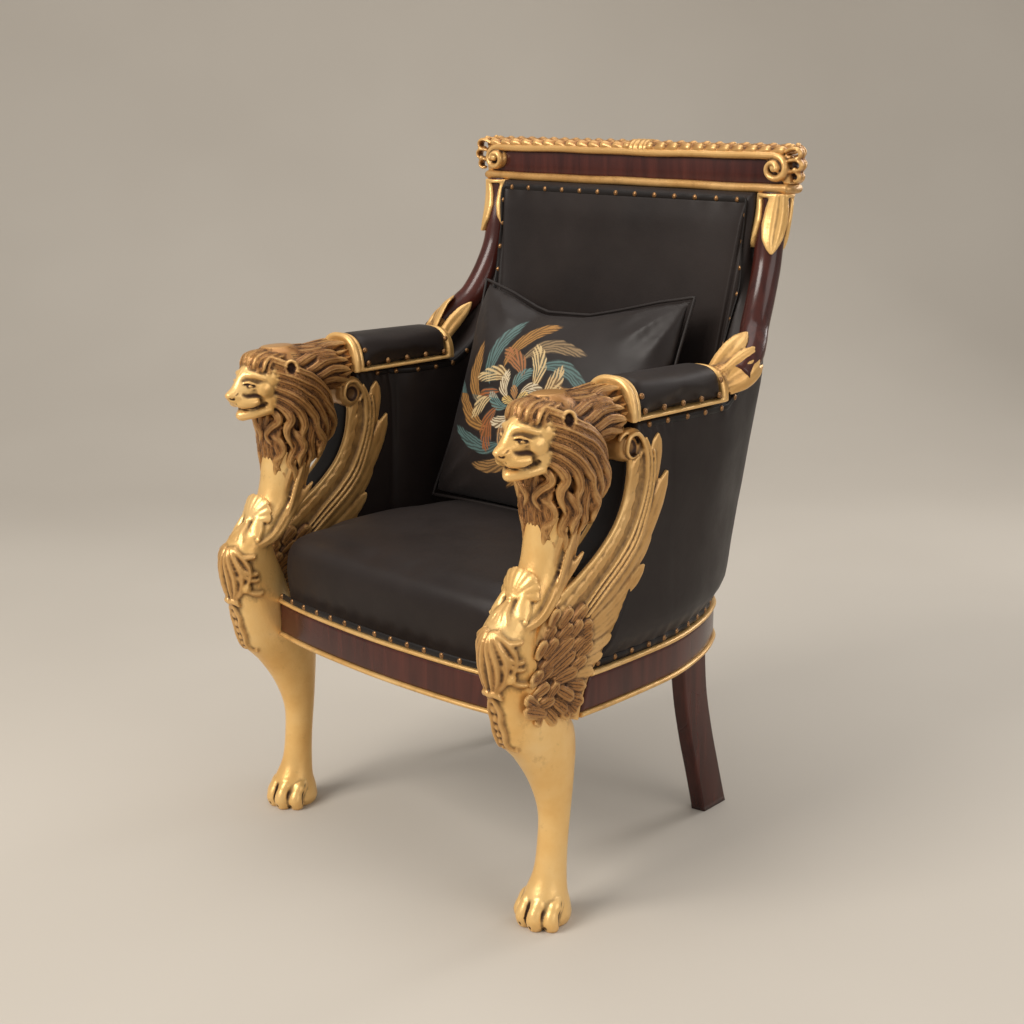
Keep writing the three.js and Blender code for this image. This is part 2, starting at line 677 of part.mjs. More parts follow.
const crestDip = (x) => -8 * Math.exp(-((x / 70) ** 2));
const crestXs = [-1, -0.9, -0.55, -0.22, 0, 0.22, 0.55, 0.9, 1];
function crestBar(half, section, dip) {
  return loft(crestXs.map((u) => section.map(([y, z]) => [u * half, y, z + dip * crestDip(u * half)])));
}
const crestBack = crestFront + crestDeep;
function crestPanel() {
  const z0 = crestLow + 14.4;
  const outline = [
    [crestFront + 10, z0], [crestFront + 10, 1092], [crestBack - 3, 1092], [crestBack - 3, z0],
  ];
  return crestBar(334, outline, 0);
}
function lowerMoulding() {
  const z = crestLow + 0.4;
  const outline = [
    [crestFront + 3, z], [crestFront - 1, z + 4], [crestFront - 1, z + 9], [crestFront + 3, z + 13.6],
    [crestBack, z + 13.6], [crestBack + 2, z + 7], [crestBack, z],
  ];
  return crestBar(crestHalf, outline, 0);
}
// Upper moulding: a cap across the top that rolls into a spiral at each end.
function upperMoulding() {
  const outline = [
    [crestFront + 4, 1092.4], [crestFront - 1, 1096], [crestFront - 1, 1102],
    [crestFront + 3, 1106], [crestBack, 1106], [crestBack, 1092.4],
  ];
  const cap = crestBar(316, outline, 0);
  const roll = (s) => bar(
    Array.from({ length: 9 }, (_, i) => {
      const a = Math.PI / 2 - s * ((TAU * i) / 9);
      const r = lerp(20, 9, i / 8);
      return [s * 317 + r * Math.cos(a), crestFront + 2, 1080 + r * Math.sin(a)];
    }),
    (t) => [4.5, lerp(4.5, 7, t)],
    [0, 1, 0],
    5,
  );
  const end = (s) => loft([334.6, 343].map((x) => [
    [s * x, crestFront, 1058], [s * x, crestFront, 1099],
    [s * x, crestBack - 2, 1099], [s * x, crestBack - 2, 1058],
  ]));
  return join([cap, roll(1), roll(-1), end(1), end(-1)]);
}
// Laurel roll: leaf buds that run out from a ribbon at the middle, and foliage curled down over the ends.
const budPitch = 28.6;
const budCount = 11;
function laurel() {
  const mid = (crestFront + crestBack) / 2;
  const rings = [];
  const addRing = (x, wide, high) => rings.push([
    [x, mid - wide, 1106.4], [x, mid - wide, 1106.4 + high * 0.55], [x, mid, 1106.4 + high],
    [x, mid + wide, 1106.4 + high * 0.55], [x, mid + wide, 1106.4],
  ]);
  for (let k = budCount; k > 0; k -= 1) {
    addRing(-18 - k * budPitch, 14, 9);
    addRing(-18 - (k - 0.25) * budPitch, 17, 13);
  }
  addRing(-20, 14, 9);
  addRing(-12, 19, 12.5);
  addRing(12, 19, 12.5);
  addRing(20, 14, 9);
  for (let k = 1; k <= budCount; k += 1) {
    addRing(18 + (k - 0.25) * budPitch, 17, 13);
    addRing(18 + k * budPitch, 14, 9);
  }
  const curl = (s) => bar(
    [
      [s * 328, mid, 1111], [s * 345, mid, 1107], [s * 351.5, mid, 1092],
      [s * 352, mid, 1078], [s * 348, mid, 1064],
    ],
    (t) => [20 - 6 * t, 5.5],
    [0, 1, 0],
    5,
  );
  return join([loft(rings), curl(1), curl(-1)]);
}

// ---------------------------------------------------------------- loose cushion
function pillow() {
  const centre = [18, 372, 705];
  const lean = 0.2;
  const n = 6;
  const half = pillowSize / 2;
  const shape = (u, v) => {
    const puff = Math.sqrt(Math.max(0, (1 - u ** 4) * (1 - v ** 4)));
    const pull = 1 - 0.05 * (1 - Math.abs(Math.abs(u) - Math.abs(v)));
    return [u * half * pull, v * half * 0.9 * pull, (pillowThick / 2) * puff];
  };
  const place = ([a, b, d]) => [
    centre[0] + a,
    centre[1] + b * Math.sin(lean) + d * Math.cos(lean),
    centre[2] + b * Math.cos(lean) - d * Math.sin(lean),
  ];
  const rings = [];
  for (let j = 0; j <= n; j += 1) {
    const v = -1 + (2 * j) / n;
    const faceUp = [];
    const faceDown = [];
    for (let i = 0; i <= n; i += 1) {
      const u = -1 + (2 * i) / n;
      const [a, b, d] = shape(u * 0.999, v * 0.999);
      faceUp.push(place([a, b, d + 2]));
      faceDown.push(place([a, b, -d - 2]));
    }
    rings.push([...faceUp, ...faceDown.reverse()]);
  }
  return stripLoft(rings);
}

// ---------------------------------------------------------------- assembly
const group = new THREE.Group();
group.name = 'throne';
function addPiece(name, body, finish) {
  const mesh = body.getMesh();
  const v = mesh.vertProperties;
  const pos = [];
  for (let i = 0; i < v.length; i += mesh.numProp) pos.push(v[i], v[i + 1] + depthShift, v[i + 2]);
  const geometry = new THREE.BufferGeometry();
  geometry.setAttribute('position', new THREE.Float32BufferAttribute(pos, 3));
  geometry.setIndex(Array.from(mesh.triVerts));
  const flat = geometry.toNonIndexed();
  flat.computeVertexNormals();
  const piece = new THREE.Mesh(flat, new THREE.MeshStandardMaterial({ ...finish, name: `${name}_finish` }));
  piece.name = name;
  group.add(piece);
}
function addPair(name, body, finish) {
  addPiece(`${name}_right`, body, finish);
  addPiece(`${name}_left`, mirrored(body), finish);
}

const envelope = supportEnvelope();
const envelopeLeft = mirrored(envelope);
const posts = [post(gap), mirrored(post(gap))];
const cutRail = (body) => body.subtract(envelope).subtract(envelopeLeft);

addPair('lion_support', lionSupport(), gold);
addPair('support_facing', facing(), leather);
addPiece('front_rail', railSection(frontPlan, railShape), mahogany);
addPiece('side_rail', cutRail(railSection(sideRun, railShape)), mahogany);
addPiece('front_bead_low', railSection(frontPlan, lowBead), gold);
addPiece('front_bead_high', railSection(frontPlan, highBead), gold);
addPiece('side_bead_low', cutRail(railSection(sideRun, lowBead)), gold);
addPiece('side_bead_high', cutRail(railSection(sideRun, highBead)), gold);
addPair('rear_leg', rearLeg(), mahogany);
addPiece('tub_upholstery', tidied(tubUpholstery([envelope, envelopeLeft, ...posts]), 560), leather);
addPiece('seat_upholstery', seat(), leather);
addPair('arm_gilding', tidied(armGilding(), 440), gold);
addPair('arm_pad', armPad(), leather);
addPair('back_post', post(0), mahogany);
addPair('post_leaves', tidied(postLeaves(), 260), gold);
addPiece('crest_panel', crestPanel(), mahogany);
addPiece('crest_lower_moulding', lowerMoulding(), gold);
addPiece('crest_upper_moulding', tidied(upperMoulding(), 330), gold);
addPiece('crest_laurel', tidied(laurel(), 560), gold);
addPiece('loose_cushion', pillow(), leather);

export default group;
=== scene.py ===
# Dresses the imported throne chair: carved gilded lion supports, leather upholstery, mahogany and brass.
# Working units are millimetres in the drawing's frame (y = 0 under the front paws); place() turns them
# into the part's frame in metres.
import bpy
import math
import numpy as np
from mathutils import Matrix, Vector
from mathutils.kdtree import KDTree


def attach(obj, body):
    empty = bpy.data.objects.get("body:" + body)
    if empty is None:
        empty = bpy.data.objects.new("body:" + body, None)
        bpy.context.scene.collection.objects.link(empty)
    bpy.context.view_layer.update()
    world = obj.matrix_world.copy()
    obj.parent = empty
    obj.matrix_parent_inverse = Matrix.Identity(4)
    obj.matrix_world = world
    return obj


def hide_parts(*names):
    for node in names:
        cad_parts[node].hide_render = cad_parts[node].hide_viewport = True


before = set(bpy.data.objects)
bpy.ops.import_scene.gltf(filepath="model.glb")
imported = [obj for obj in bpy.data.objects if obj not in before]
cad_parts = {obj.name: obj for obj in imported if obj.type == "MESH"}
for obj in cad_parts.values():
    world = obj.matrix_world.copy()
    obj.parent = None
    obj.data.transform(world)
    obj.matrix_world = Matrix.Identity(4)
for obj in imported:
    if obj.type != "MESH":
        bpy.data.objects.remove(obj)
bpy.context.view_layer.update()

SHIFT = -224.98
SUPPORT_X = 298.0
TAU = 2 * math.pi


# ------------------------------------------------------------------ curves and lofts
def spline(points, count):
    p = np.array(points, float)
    q = np.vstack([2 * p[0] - p[1], p, 2 * p[-1] - p[-2]])
    t = np.linspace(0, len(p) - 1, count)
    i = np.minimum(t.astype(int), len(p) - 2)
    f = (t - i)[:, None]
    a, b, c, d = q[i], q[i + 1], q[i + 2], q[i + 3]
    return 0.5 * (2 * b + (c - a) * f + (2 * a - 5 * b + 4 * c - d) * f ** 2 + (3 * b - 3 * c + d - a) * f ** 3)


def table(rows, keys, smooth=True):
    """Columns of a table [key, v1, v2, ...] read at keys, on a smooth curve through the rows."""
    rows = np.array(rows, float)
    keys = np.asarray(keys, float)
    if smooth and len(rows) > 2:
        fine = spline(rows, 400)
        fine = fine[np.argsort(fine[:, 0], kind="stable")]
        rows = fine
    return np.stack([np.interp(keys, rows[:, 0], rows[:, k]) for k in range(1, rows.shape[1])], -1)


def ramp(t, pairs):
    return np.interp(t, [p[0] for p in pairs], [p[1] for p in pairs])


def unit(v):
    return v / np.maximum(np.linalg.norm(v, axis=-1, keepdims=True), 1e-9)


class Clay:
    """Closed triangle shells gathered in one list, with a tone for each: 0 plain gilding, 1 carved and aged."""

    def __init__(self):
        self.v, self.t, self.tone, self.across, self.n = [], [], [], [], 0

    def put(self, v, t, tone=0.0, across=None):
        v = np.asarray(v, float)
        a, b, c = v[t[:, 0]], v[t[:, 1]], v[t[:, 2]]
        if (a * np.cross(b, c)).sum() < 0:
            t = t[:, ::-1]
        self.v.append(v)
        self.t.append(t + self.n)
        self.tone.append(np.full(len(v), tone))
        self.across.append(np.zeros(len(v)) if across is None else across)
        self.n += len(v)

    def loft(self, rings, tone=0.0, closed=False, across=None):
        rings = np.asarray(rings, float)
        rows, n = rings.shape[:2]
        r = np.arange(rows if closed else rows - 1)[:, None]
        k = np.arange(n)[None]
        a, b = r * n + k, r * n + (k + 1) % n
        c, d = ((r + 1) % rows) * n + (k + 1) % n, ((r + 1) % rows) * n + k
        t = np.concatenate([np.stack([a, b, c], -1).reshape(-1, 3), np.stack([a, c, d], -1).reshape(-1, 3)])
        v = rings.reshape(-1, 3)
        if not closed:
            v = np.vstack([v, rings[0].mean(0), rings[-1].mean(0)])
            k = np.arange(n)
            first = np.stack([(k + 1) % n, k, np.full(n, rows * n)], -1)
            last = np.stack([(rows - 1) * n + k, (rows - 1) * n + (k + 1) % n, np.full(n, rows * n + 1)], -1)
            t = np.concatenate([t, first, last])
        if across is not None:
            across = np.concatenate([np.tile(across, rows), [0.0, 0.0][:len(v) - rows * n]])
        self.put(v, t, tone, across)

    def ball(self, centre, radii, tone=0.0, n=20):
        a = np.linspace(0.02, math.pi - 0.02, n // 2 + 2)[:, None]
        k = np.linspace(0, TAU, n, endpoint=False)[None]
        unit_ball = np.stack([np.sin(a) * np.cos(k), np.sin(a) * np.sin(k), np.cos(a) + 0 * k], -1)
        self.loft(np.array(centre, float) + unit_ball * np.array(radii, float), tone)

    def sweep(self, path, wide, high, up, tone=0.0, n=20, strands=0, groove=0.34, under=0.6):
        """Bar along a path; wide and high are half sizes at each point; strands cut grooves in the upper side."""
        path = np.asarray(path, float)
        rows = len(path)
        along = unit(np.gradient(path, axis=0))
        up = np.broadcast_to(np.asarray(up, float), (rows, 3))
        side = unit(np.cross(along, up))
        nor = np.cross(side, along)
        wide = np.broadcast_to(np.asarray(wide, float), (rows,))[:, None, None]
        high = np.broadcast_to(np.asarray(high, float), (rows,))[:, None, None]
        a = np.linspace(0, TAU, n, endpoint=False)
        cu, su = np.cos(a), np.sin(a)
        prof = np.where(su > 0, su, su * under)
        if strands:
            cut = 0.5 + 0.5 * np.cos(math.pi * strands * (cu + 1))
            prof = np.where(su > 0, su * (1 - groove * cut), prof)
        rings = path[:, None] + side[:, None] * (wide * cu[None, :, None]) + nor[:, None] * (high * prof[None, :, None])
        self.loft(rings, tone, across=cu if strands else None)

    def both_sides(self, other):
        """Takes in another clay and its mirror image in x."""
        for v, t, tone, across in zip(other.v, other.t, other.tone, other.across):
            self.put(v, t - int(t.min()), tone[0], across)
            self.put(v * [-1, 1, 1], t - int(t.min()), tone[0], across)

    def take(self, other):
        for v, t, tone, across in zip(other.v, other.t, other.tone, other.across):
            self.put(v, t - int(t.min()), tone[0], across)

    def arrays(self):
        return np.vstack(self.v), np.vstack(self.t), np.concatenate(self.tone), np.concatenate(self.across)


# ------------------------------------------------------------------ meshes
def raw_mesh(name, v, f):
    mesh = bpy.data.meshes.new(name)
    k = f.shape[1]
    mesh.vertices.add(len(v))
    mesh.vertices.foreach_set("co", np.asarray(v, np.float32).ravel())
    mesh.loops.add(f.size)
    mesh.loops.foreach_set("vertex_index", f.astype(np.int32).ravel())
    mesh.polygons.add(len(f))
    mesh.polygons.foreach_set("loop_start", np.arange(0, f.size, k, dtype=np.int32))
    mesh.update(calc_edges=True)
    mesh.validate()
    return mesh


def evaluated(ob):
    """Points and faces of an object with its modifiers on."""
    dg = bpy.context.evaluated_depsgraph_get()
    dg.update()
    e = ob.evaluated_get(dg)
    m = e.to_mesh()
    v = np.zeros(len(m.vertices) * 3, np.float32)
    m.vertices.foreach_get("co", v)
    loops = np.zeros(len(m.loops), np.int32)
    m.loops.foreach_get("vertex_index", loops)
    k = len(m.polygons[0].vertices)
    e.to_mesh_clear()
    return v.reshape(-1, 3).astype(float), loops.reshape(-1, k)


def fuse(clay, voxel):
    """The union of all shells of a clay as one even quad mesh: points, quads, tone, place across a strand."""
    v, t, tone, across = clay.arrays()
    ob = bpy.data.objects.new("work", raw_mesh("work", v, t))
    bpy.context.scene.collection.objects.link(ob)
    mod = ob.modifiers.new("fuse", "REMESH")
    mod.mode = "VOXEL"
    mod.voxel_size = voxel
    mod.adaptivity = 0
    fv, ff = evaluated(ob)
    mesh = ob.data
    bpy.data.objects.remove(ob)
    bpy.data.meshes.remove(mesh)
    tree = KDTree(len(v))
    for i, p in enumerate(v):
        tree.insert(p, i)
    tree.balance()
    near = np.fromiter((tree.find(p)[1] for p in fv), int, len(fv))
    return fv, ff, tone[near], across[near]


def thin(v, f, keep, **attributes):
    """Fewer triangles where the surface is plain, with the attributes carried along."""
    ob = bpy.data.objects.new("thin", raw_mesh("thin", v, f))
    bpy.context.scene.collection.objects.link(ob)
    for key, values in attributes.items():
        ob.data.attributes.new(key, "FLOAT", "POINT").data.foreach_set("value", values.astype(np.float32))
    fewer = ob.modifiers.new("thin", "DECIMATE")
    fewer.ratio = keep
    fewer.use_collapse_triangulate = True
    e = ob.evaluated_get(bpy.context.evaluated_depsgraph_get())
    m = e.to_mesh()
    co = np.zeros(len(m.vertices) * 3, np.float32)
    m.vertices.foreach_get("co", co)
    loops = np.zeros(len(m.loops), np.int32)
    m.loops.foreach_get("vertex_index", loops)
    out = {}
    for key in attributes:
        out[key] = np.zeros(len(m.vertices), np.float32)
        m.attributes[key].data.foreach_get("value", out[key])
    e.to_mesh_clear()
    mesh = ob.data
    bpy.data.objects.remove(ob)
    bpy.data.meshes.remove(mesh)
    return co.reshape(-1, 3).astype(float), loops.reshape(-1, 3), out


def neighbours(f, n):
    a, b = f.ravel(), np.roll(f, -1, 1).ravel()
    here, there = np.concatenate([a, b]), np.concatenate([b, a])
    return here, there, np.maximum(np.bincount(here, minlength=n), 1)


def averaged(v, near):
    here, there, count = near
    cols = v.reshape(len(v), -1)
    out = np.stack([np.bincount(here, cols[there, k], len(v)) for k in range(cols.shape[1])], 1) / count[:, None]
    return out.reshape(v.shape)


def relax(v, f, times, amount=0.5, mask=None):
    near = neighbours(f, len(v))
    amount = amount if mask is None else amount * mask[:, None]
    for _ in range(times):
        v = v + (averaged(v, near) - v) * amount
    return v


def normals(v, f):
    d1, d2 = v[f[:, 2]] - v[f[:, 0]], v[f[:, f.shape[1] - 1]] - v[f[:, 1]]
    face = np.cross(d1, d2)
    out = np.zeros_like(v)
    for k in range(3):
        out[:, k] = np.bincount(f.ravel(), np.repeat(face[:, k], f.shape[1]), len(v))
    return unit(out)


def hollows(v, f, voxel):
    """How deep each point lies in a groove (above 0) or stands on a ridge (below 0), from fine to coarse."""
    near = neighbours(f, len(v))
    n = normals(v, f)
    out = np.zeros(len(v))
    s = v.copy()
    done = 0
    for steps, gain in ((2, 1.5), (8, 0.75), (30, 0.32)):
        for _ in range(steps - done):
            s = averaged(s, near)
        done = steps
        out += gain * ((s - v) * n).sum(1) / voxel
    return averaged(out, near)


def line_distance(v, path):
    """Distance of each point to a polyline given by close points, and how far along it is (0..1)."""
    low, high = path.min(0) - 16, path.max(0) + 16
    inside = np.where(((v > low) & (v < high)).all(1))[0]
    dist, along = np.full(len(v), 1e3), np.zeros(len(v))
    if len(inside):
        d = np.linalg.norm(v[inside][:, None] - path[None], axis=2)
        k = d.argmin(1)
        dist[inside] = d[np.arange(len(inside)), k]
        along[inside] = k / (len(path) - 1)
    return dist, along


def carve(v, n, tone, points, width, depth, dark=0.6, ends=0.25):
    """Cuts (depth > 0) or raises (depth < 0) a soft line into the surface, and lays painted shade (dark) along it into
    the shade values passed in as tone.
    """
    path = spline(points, 40) if len(points) > 1 else np.array([points[0]] * 2, float)
    dist, along = line_distance(v, path)
    fade = ramp(along, [(0, ends), (0.2, 1), (0.8, 1), (1, ends)]) if len(points) > 1 else 1
    bell = np.exp(-(dist / width) ** 2) * fade
    return v - n * (bell * depth)[:, None], np.maximum(tone, tone * 0 + bell * dark)


def place(v):
    return (np.asarray(v, float) + [0, SHIFT, 0]) / 1000


def make_piece(name, v, f, replaces=(), attributes=None, smooth=True):
    mesh = raw_mesh(name, place(v), f)
    if smooth:
        mesh.shade_smooth()
    for key, values in (attributes or {}).items():
        if values.ndim == 1:
            mesh.attributes.new(key, "FLOAT", "POINT").data.foreach_set("value", values.astype(np.float32))
        else:
            mesh.attributes.new(key, "FLOAT_VECTOR", "POINT").data.foreach_set("vector", values.astype(np.float32).ravel())
    ob = bpy.data.objects.new(name, mesh)
    bpy.context.scene.collection.objects.link(ob)
    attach(ob, "root")
    if replaces:
        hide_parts(*replaces)
    return ob


def clay_piece(name, clay, slot, replaces=()):
    v, t, tone, _ = clay.arrays()
    return make_piece(name, v, t, replaces, {"age": tone})


# ------------------------------------------------------------------ materials
def new_material(name):
    m = bpy.data.materials.new(name)
    m.use_nodes = True
    nt = m.node_tree
    return m, nt, nt.nodes["Principled BSDF"]


class Nodes:
    def __init__(self, nt):
        self.nt = nt

    def add(self, kind, **values):
        node = self.nt.nodes.new(kind)
        for key, value in values.items():
            setattr(node, key, value)
        return node

    def link(self, a, b):
        self.nt.links.new(a, b)

    def noise(self, scale, detail=4, rough=0.55, vector=None, distort=0.0):
        node = self.add("ShaderNodeTexNoise")
        node.inputs["Scale"].default_value = scale
        node.inputs["Detail"].default_value = detail
        node.inputs["Roughness"].default_value = rough
        node.inputs["Distortion"].default_value = distort
        self.link(vector or self.coords(), node.inputs["Vector"])
        return node.outputs["Fac"]

    def coords(self, scale=(1, 1, 1), rotation=(0, 0, 0)):
        tc = self.add("ShaderNodeTexCoord")
        mp = self.add("ShaderNodeMapping")
        mp.inputs["Scale"].default_value = scale
        mp.inputs["Rotation"].default_value = rotation
        self.link(tc.outputs["Object"], mp.inputs["Vector"])
        return mp.outputs["Vector"]

    def attribute(self, name, output="Fac"):
        node = self.add("ShaderNodeAttribute", attribute_name=name)
        return node.outputs[output]

    def maths(self, op, a, b=0.0, c=0.0, clamp=False):
        node = self.add("ShaderNodeMath", operation=op, use_clamp=clamp)
        for k, value in enumerate((a, b, c)):
            if isinstance(value, (int, float)):
                node.inputs[k].default_value = value
            else:
                self.link(value, node.inputs[k])
        return node.outputs[0]

    def ramp(self, fac, stops, mode="LINEAR"):
        node = self.add("ShaderNodeValToRGB")
        node.color_ramp.interpolation = mode
        els = node.color_ramp.elements
        while len(els) < len(stops):
            els.new(0.5)
        for e, (at, colour) in zip(els, stops):
            e.position = at
            e.color = (*colour, 1) if not isinstance(colour, (int, float)) else (colour, colour, colour, 1)
        self.link(fac, node.inputs["Fac"])
        return node.outputs["Color"]

    def mix(self, fac, a, b, blend="MIX"):
        node = self.add("ShaderNodeMix", data_type="RGBA", blend_type=blend)
        for socket, value in ((node.inputs[0], fac), (node.inputs[6], a), (node.inputs[7], b)):
            if isinstance(value, (int, float)):
                socket.default_value = value
            elif isinstance(value, tuple):
                socket.default_value = (*value, 1)
            else:
                self.link(value, socket)
        return node.outputs[2]

    def bump(self, height, distance, strength=1.0, normal=None):
        node = self.add("ShaderNodeBump")
        node.inputs["Distance"].default_value = distance
        node.inputs["Strength"].default_value = strength
        self.link(height, node.inputs["Height"])
        if normal is not None:
            self.link(normal, node.inputs["Normal"])
        return node.outputs["Normal"]


def gilding():
    """Antique gold over gesso: pale and satin on smooth limbs, deeper on carving; painted shade in dark brown in the
    hollows, cuts and hair strands, and a painted highlight on the ridges.
    """
    m, nt, shader = new_material("gilding")
    n = Nodes(nt)
    age = n.attribute("age")
    cut = n.attribute("cut")
    # Fine strands across each lock of hair, as bumps and as painted shade in their grooves.
    wave = n.maths("SINE", n.maths("MULTIPLY", n.attribute("across"), 15.5))
    strands = n.maths("MULTIPLY", n.maths("SUBTRACT", n.maths("MULTIPLY", wave, -1.0), 0.25, clamp=True), n.attribute("fur"))
    patch = n.noise(9, 5, 0.6)
    fine = n.noise(60, 4, 0.6)
    pale = n.ramp(patch, [(0.3, (0.80, 0.45, 0.135)), (0.5, (0.88, 0.55, 0.200)), (0.7, (0.93, 0.63, 0.270))])
    deep = n.ramp(patch, [(0.3, (0.26, 0.105, 0.027)), (0.55, (0.38, 0.172, 0.047)), (0.75, (0.50, 0.25, 0.078))])
    base = n.mix(age, pale, deep)
    # Painted shade: the hollows and carved cuts (cut) and the strand grooves darken the gilding towards dark brown,
    # with a fine random mottle mixed in; the same mix sets the roughness.
    hollow_shade_and_mottle = n.maths("ADD", cut, n.maths("MULTIPLY", n.maths("SUBTRACT", fine, 0.5), 0.5))
    hollow_shade_and_mottle = n.maths("ADD", hollow_shade_and_mottle, n.maths("MULTIPLY", strands, 0.55))
    shade = n.ramp(hollow_shade_and_mottle, [(0.0, 0.0), (0.16, 0.38), (0.42, 0.85), (0.75, 1.0)])
    base = n.mix(shade, base, (0.036, 0.012, 0.004))
    # Painted highlight: ridges (negative cut) are lightened towards pale gold.
    ridge = n.ramp(n.maths("MULTIPLY", cut, -1.0), [(0.12, 0.0), (0.7, 0.7)])
    base = n.mix(ridge, base, (0.86, 0.53, 0.20))
    stain = n.ramp(n.noise(22, 6, 0.7), [(0.60, 0.0), (0.74, 0.5)])
    base = n.mix(stain, base, (0.38, 0.16, 0.035))
    n.link(base, shader.inputs["Base Color"])
    shader.inputs["Metallic"].default_value = 0.4
    n.link(n.ramp(hollow_shade_and_mottle, [(0.0, 0.32), (0.7, 0.62)]), shader.inputs["Roughness"])
    first = n.bump(n.maths("MULTIPLY", strands, -1.0), 0.0012, 0.7)
    second = n.bump(n.noise(28, 3, 0.5), 0.003, 0.25, first)
    n.link(n.bump(n.noise(170, 5, 0.65), 0.0011, 0.35, second), shader.inputs["Normal"])
    return m


def mahogany():
    m, nt, shader = new_material("mahogany")
    n = Nodes(nt)
    grain = n.noise(60, 6, 0.6, n.coords((1, 1, 0.09)), 0.6)
    broad = n.noise(5, 3, 0.5, n.coords((1, 1, 0.3)))
    base = n.ramp(n.maths("ADD", n.maths("MULTIPLY", grain, 0.6), n.maths("MULTIPLY", broad, 0.4)),
                  [(0.30, (0.022, 0.0045, 0.0035)), (0.5, (0.052, 0.011, 0.0075)), (0.72, (0.098, 0.022, 0.014))])
    n.link(base, shader.inputs["Base Color"])
    n.link(n.ramp(broad, [(0.3, 0.20), (0.7, 0.33)]), shader.inputs["Roughness"])
    shader.inputs["Coat Weight"].default_value = 0.15
    shader.inputs["Specular IOR Level"].default_value = 0.35
    shader.inputs["Coat Roughness"].default_value = 0.12
    n.link(n.bump(grain, 0.0004, 0.25), shader.inputs["Normal"])
    return m


def leather_nodes(n, shader, base):
    cells = n.add("ShaderNodeTexVoronoi", feature="SMOOTH_F1")
    cells.inputs["Scale"].default_value = 620
    n.link(n.coords(), cells.inputs["Vector"])
    soft = n.noise(16, 4, 0.5)
    n.link(base, shader.inputs["Base Color"])
    n.link(n.ramp(soft, [(0.3, 0.42), (0.7, 0.54)]), shader.inputs["Roughness"])
    shader.inputs["Specular IOR Level"].default_value = 0.24
    shader.inputs["Sheen Weight"].default_value = 0.03
    shader.inputs["Sheen Roughness"].default_value = 0.5
    first = n.bump(soft, 0.004, 0.22)
    n.link(n.bump(cells.outputs["Distance"], 0.0006, 0.16, first), shader.inputs["Normal"])


def leather(name, low, high):
    m, nt, shader = new_material(name)
    n = Nodes(nt)
    leather_nodes(n, shader, n.ramp(n.noise(7, 4, 0.6), [(0.3, low), (0.7, high)]))
    return m


def brass():
    m, nt, shader = new_material("brass")
    n = Nodes(nt)
    n.link(n.ramp(n.noise(240, 3, 0.5), [(0.3, (0.16, 0.075, 0.026)), (0.7, (0.36, 0.19, 0.075))]), shader.inputs["Base Color"])
    shader.inputs["Metallic"].default_value = 0.7
    shader.inputs["Roughness"].default_value = 0.3
    return m


def printed_leather():
    """Black leather with a printed rosette of feathery leaves in gold, cream, rust and teal."""
    m, nt, shader = new_material("printed_leather")
    n = Nodes(nt)
    pos = n.add("ShaderNodeSeparateXYZ")
    n.link(n.attribute("print", "Vector"), pos.inputs[0])
    x, y, on = pos.outputs
    wob = n.maths("MULTIPLY", n.maths("SUBTRACT", n.noise(3.2, 4, 0.6, n.attribute("print", "Vector")), 0.5), 0.10)
    r = n.maths("SQRT", n.maths("ADD", n.maths("MULTIPLY", x, x), n.maths("MULTIPLY", y, y)))
    r = n.maths("ADD", r, wob)
    angle = n.maths("ARCTAN2", y, x)
    total, colour = None, None
    rings = [  # petals, swirl, radius of the petals' middle, half length, half width, colours
        (11, 1.1, 0.60, 0.22, 0.40, (0.34, 0.17, 0.05), (0.09, 0.15, 0.14)),
        (9, -0.9, 0.40, 0.19, 0.40, (0.55, 0.40, 0.20), (0.30, 0.10, 0.035)),
        (7, 1.4, 0.22, 0.14, 0.40, (0.12, 0.20, 0.185), (0.60, 0.50, 0.34)),
        (5, 0.0, 0.07, 0.10, 0.42, (0.62, 0.42, 0.15), (0.40, 0.17, 0.05)),
    ]
    for count, swirl, middle, reach, width, one, two in rings:
        turned = n.maths("ADD", n.maths("MULTIPLY", angle, count / TAU), n.maths("MULTIPLY", r, swirl * count / 3))
        across = n.maths("SUBTRACT", n.maths("FRACT", turned), 0.5)
        which = n.maths("FRACT", n.maths("MULTIPLY", n.maths("FLOOR", turned), 0.618))
        u = n.maths("DIVIDE", n.maths("SUBTRACT", r, middle), reach)
        lens = n.maths("MULTIPLY", n.maths("SUBTRACT", 1.0, n.maths("MULTIPLY", u, u), clamp=True), width)
        inside = n.maths("SUBTRACT", lens, n.maths("ABSOLUTE", across))
        strokes = n.maths("SINE", n.maths("ADD", n.maths("MULTIPLY", n.maths("ABSOLUTE", across), 46), n.maths("MULTIPLY", u, -9)))
        hair = n.noise(26, 4, 0.7, n.attribute("print", "Vector"))
        strokes = n.maths("ADD", n.maths("MULTIPLY", strokes, 0.5), n.maths("SUBTRACT", hair, 0.25))
        mask = n.ramp(n.maths("MULTIPLY", n.maths("MULTIPLY", inside, 9, clamp=True), strokes, clamp=True), [(0.02, 0.0), (0.30, 1.0)])
        under = n.ramp(n.maths("MULTIPLY", inside, 5, clamp=True), [(0.0, 0.0), (0.5, 0.38)])
        mask = n.maths("MAXIMUM", mask, under)
        tint = n.mix(n.ramp(which, [(0.35, 0.0), (0.65, 1.0)]), one, two)
        colour = tint if colour is None else n.mix(mask, colour, tint)
        total = mask if total is None else n.maths("MAXIMUM", total, mask)
    dark = n.ramp(n.noise(7, 4, 0.6), [(0.3, (0.0135, 0.0098, 0.0090)), (0.7, (0.024, 0.0185, 0.0170))])
    leather_nodes(n, shader, n.mix(n.maths("MULTIPLY", total, on), dark, colour))
    return m


GOLD = gilding()
WOOD = mahogany()
LEATHER = leather("leather", (0.0115, 0.0072, 0.0062), (0.020, 0.0135, 0.0115))
TRIM = leather("trim", (0.0070, 0.0050, 0.0045), (0.0115, 0.0085, 0.0075))
BRASS = brass()
PRINT = printed_leather()


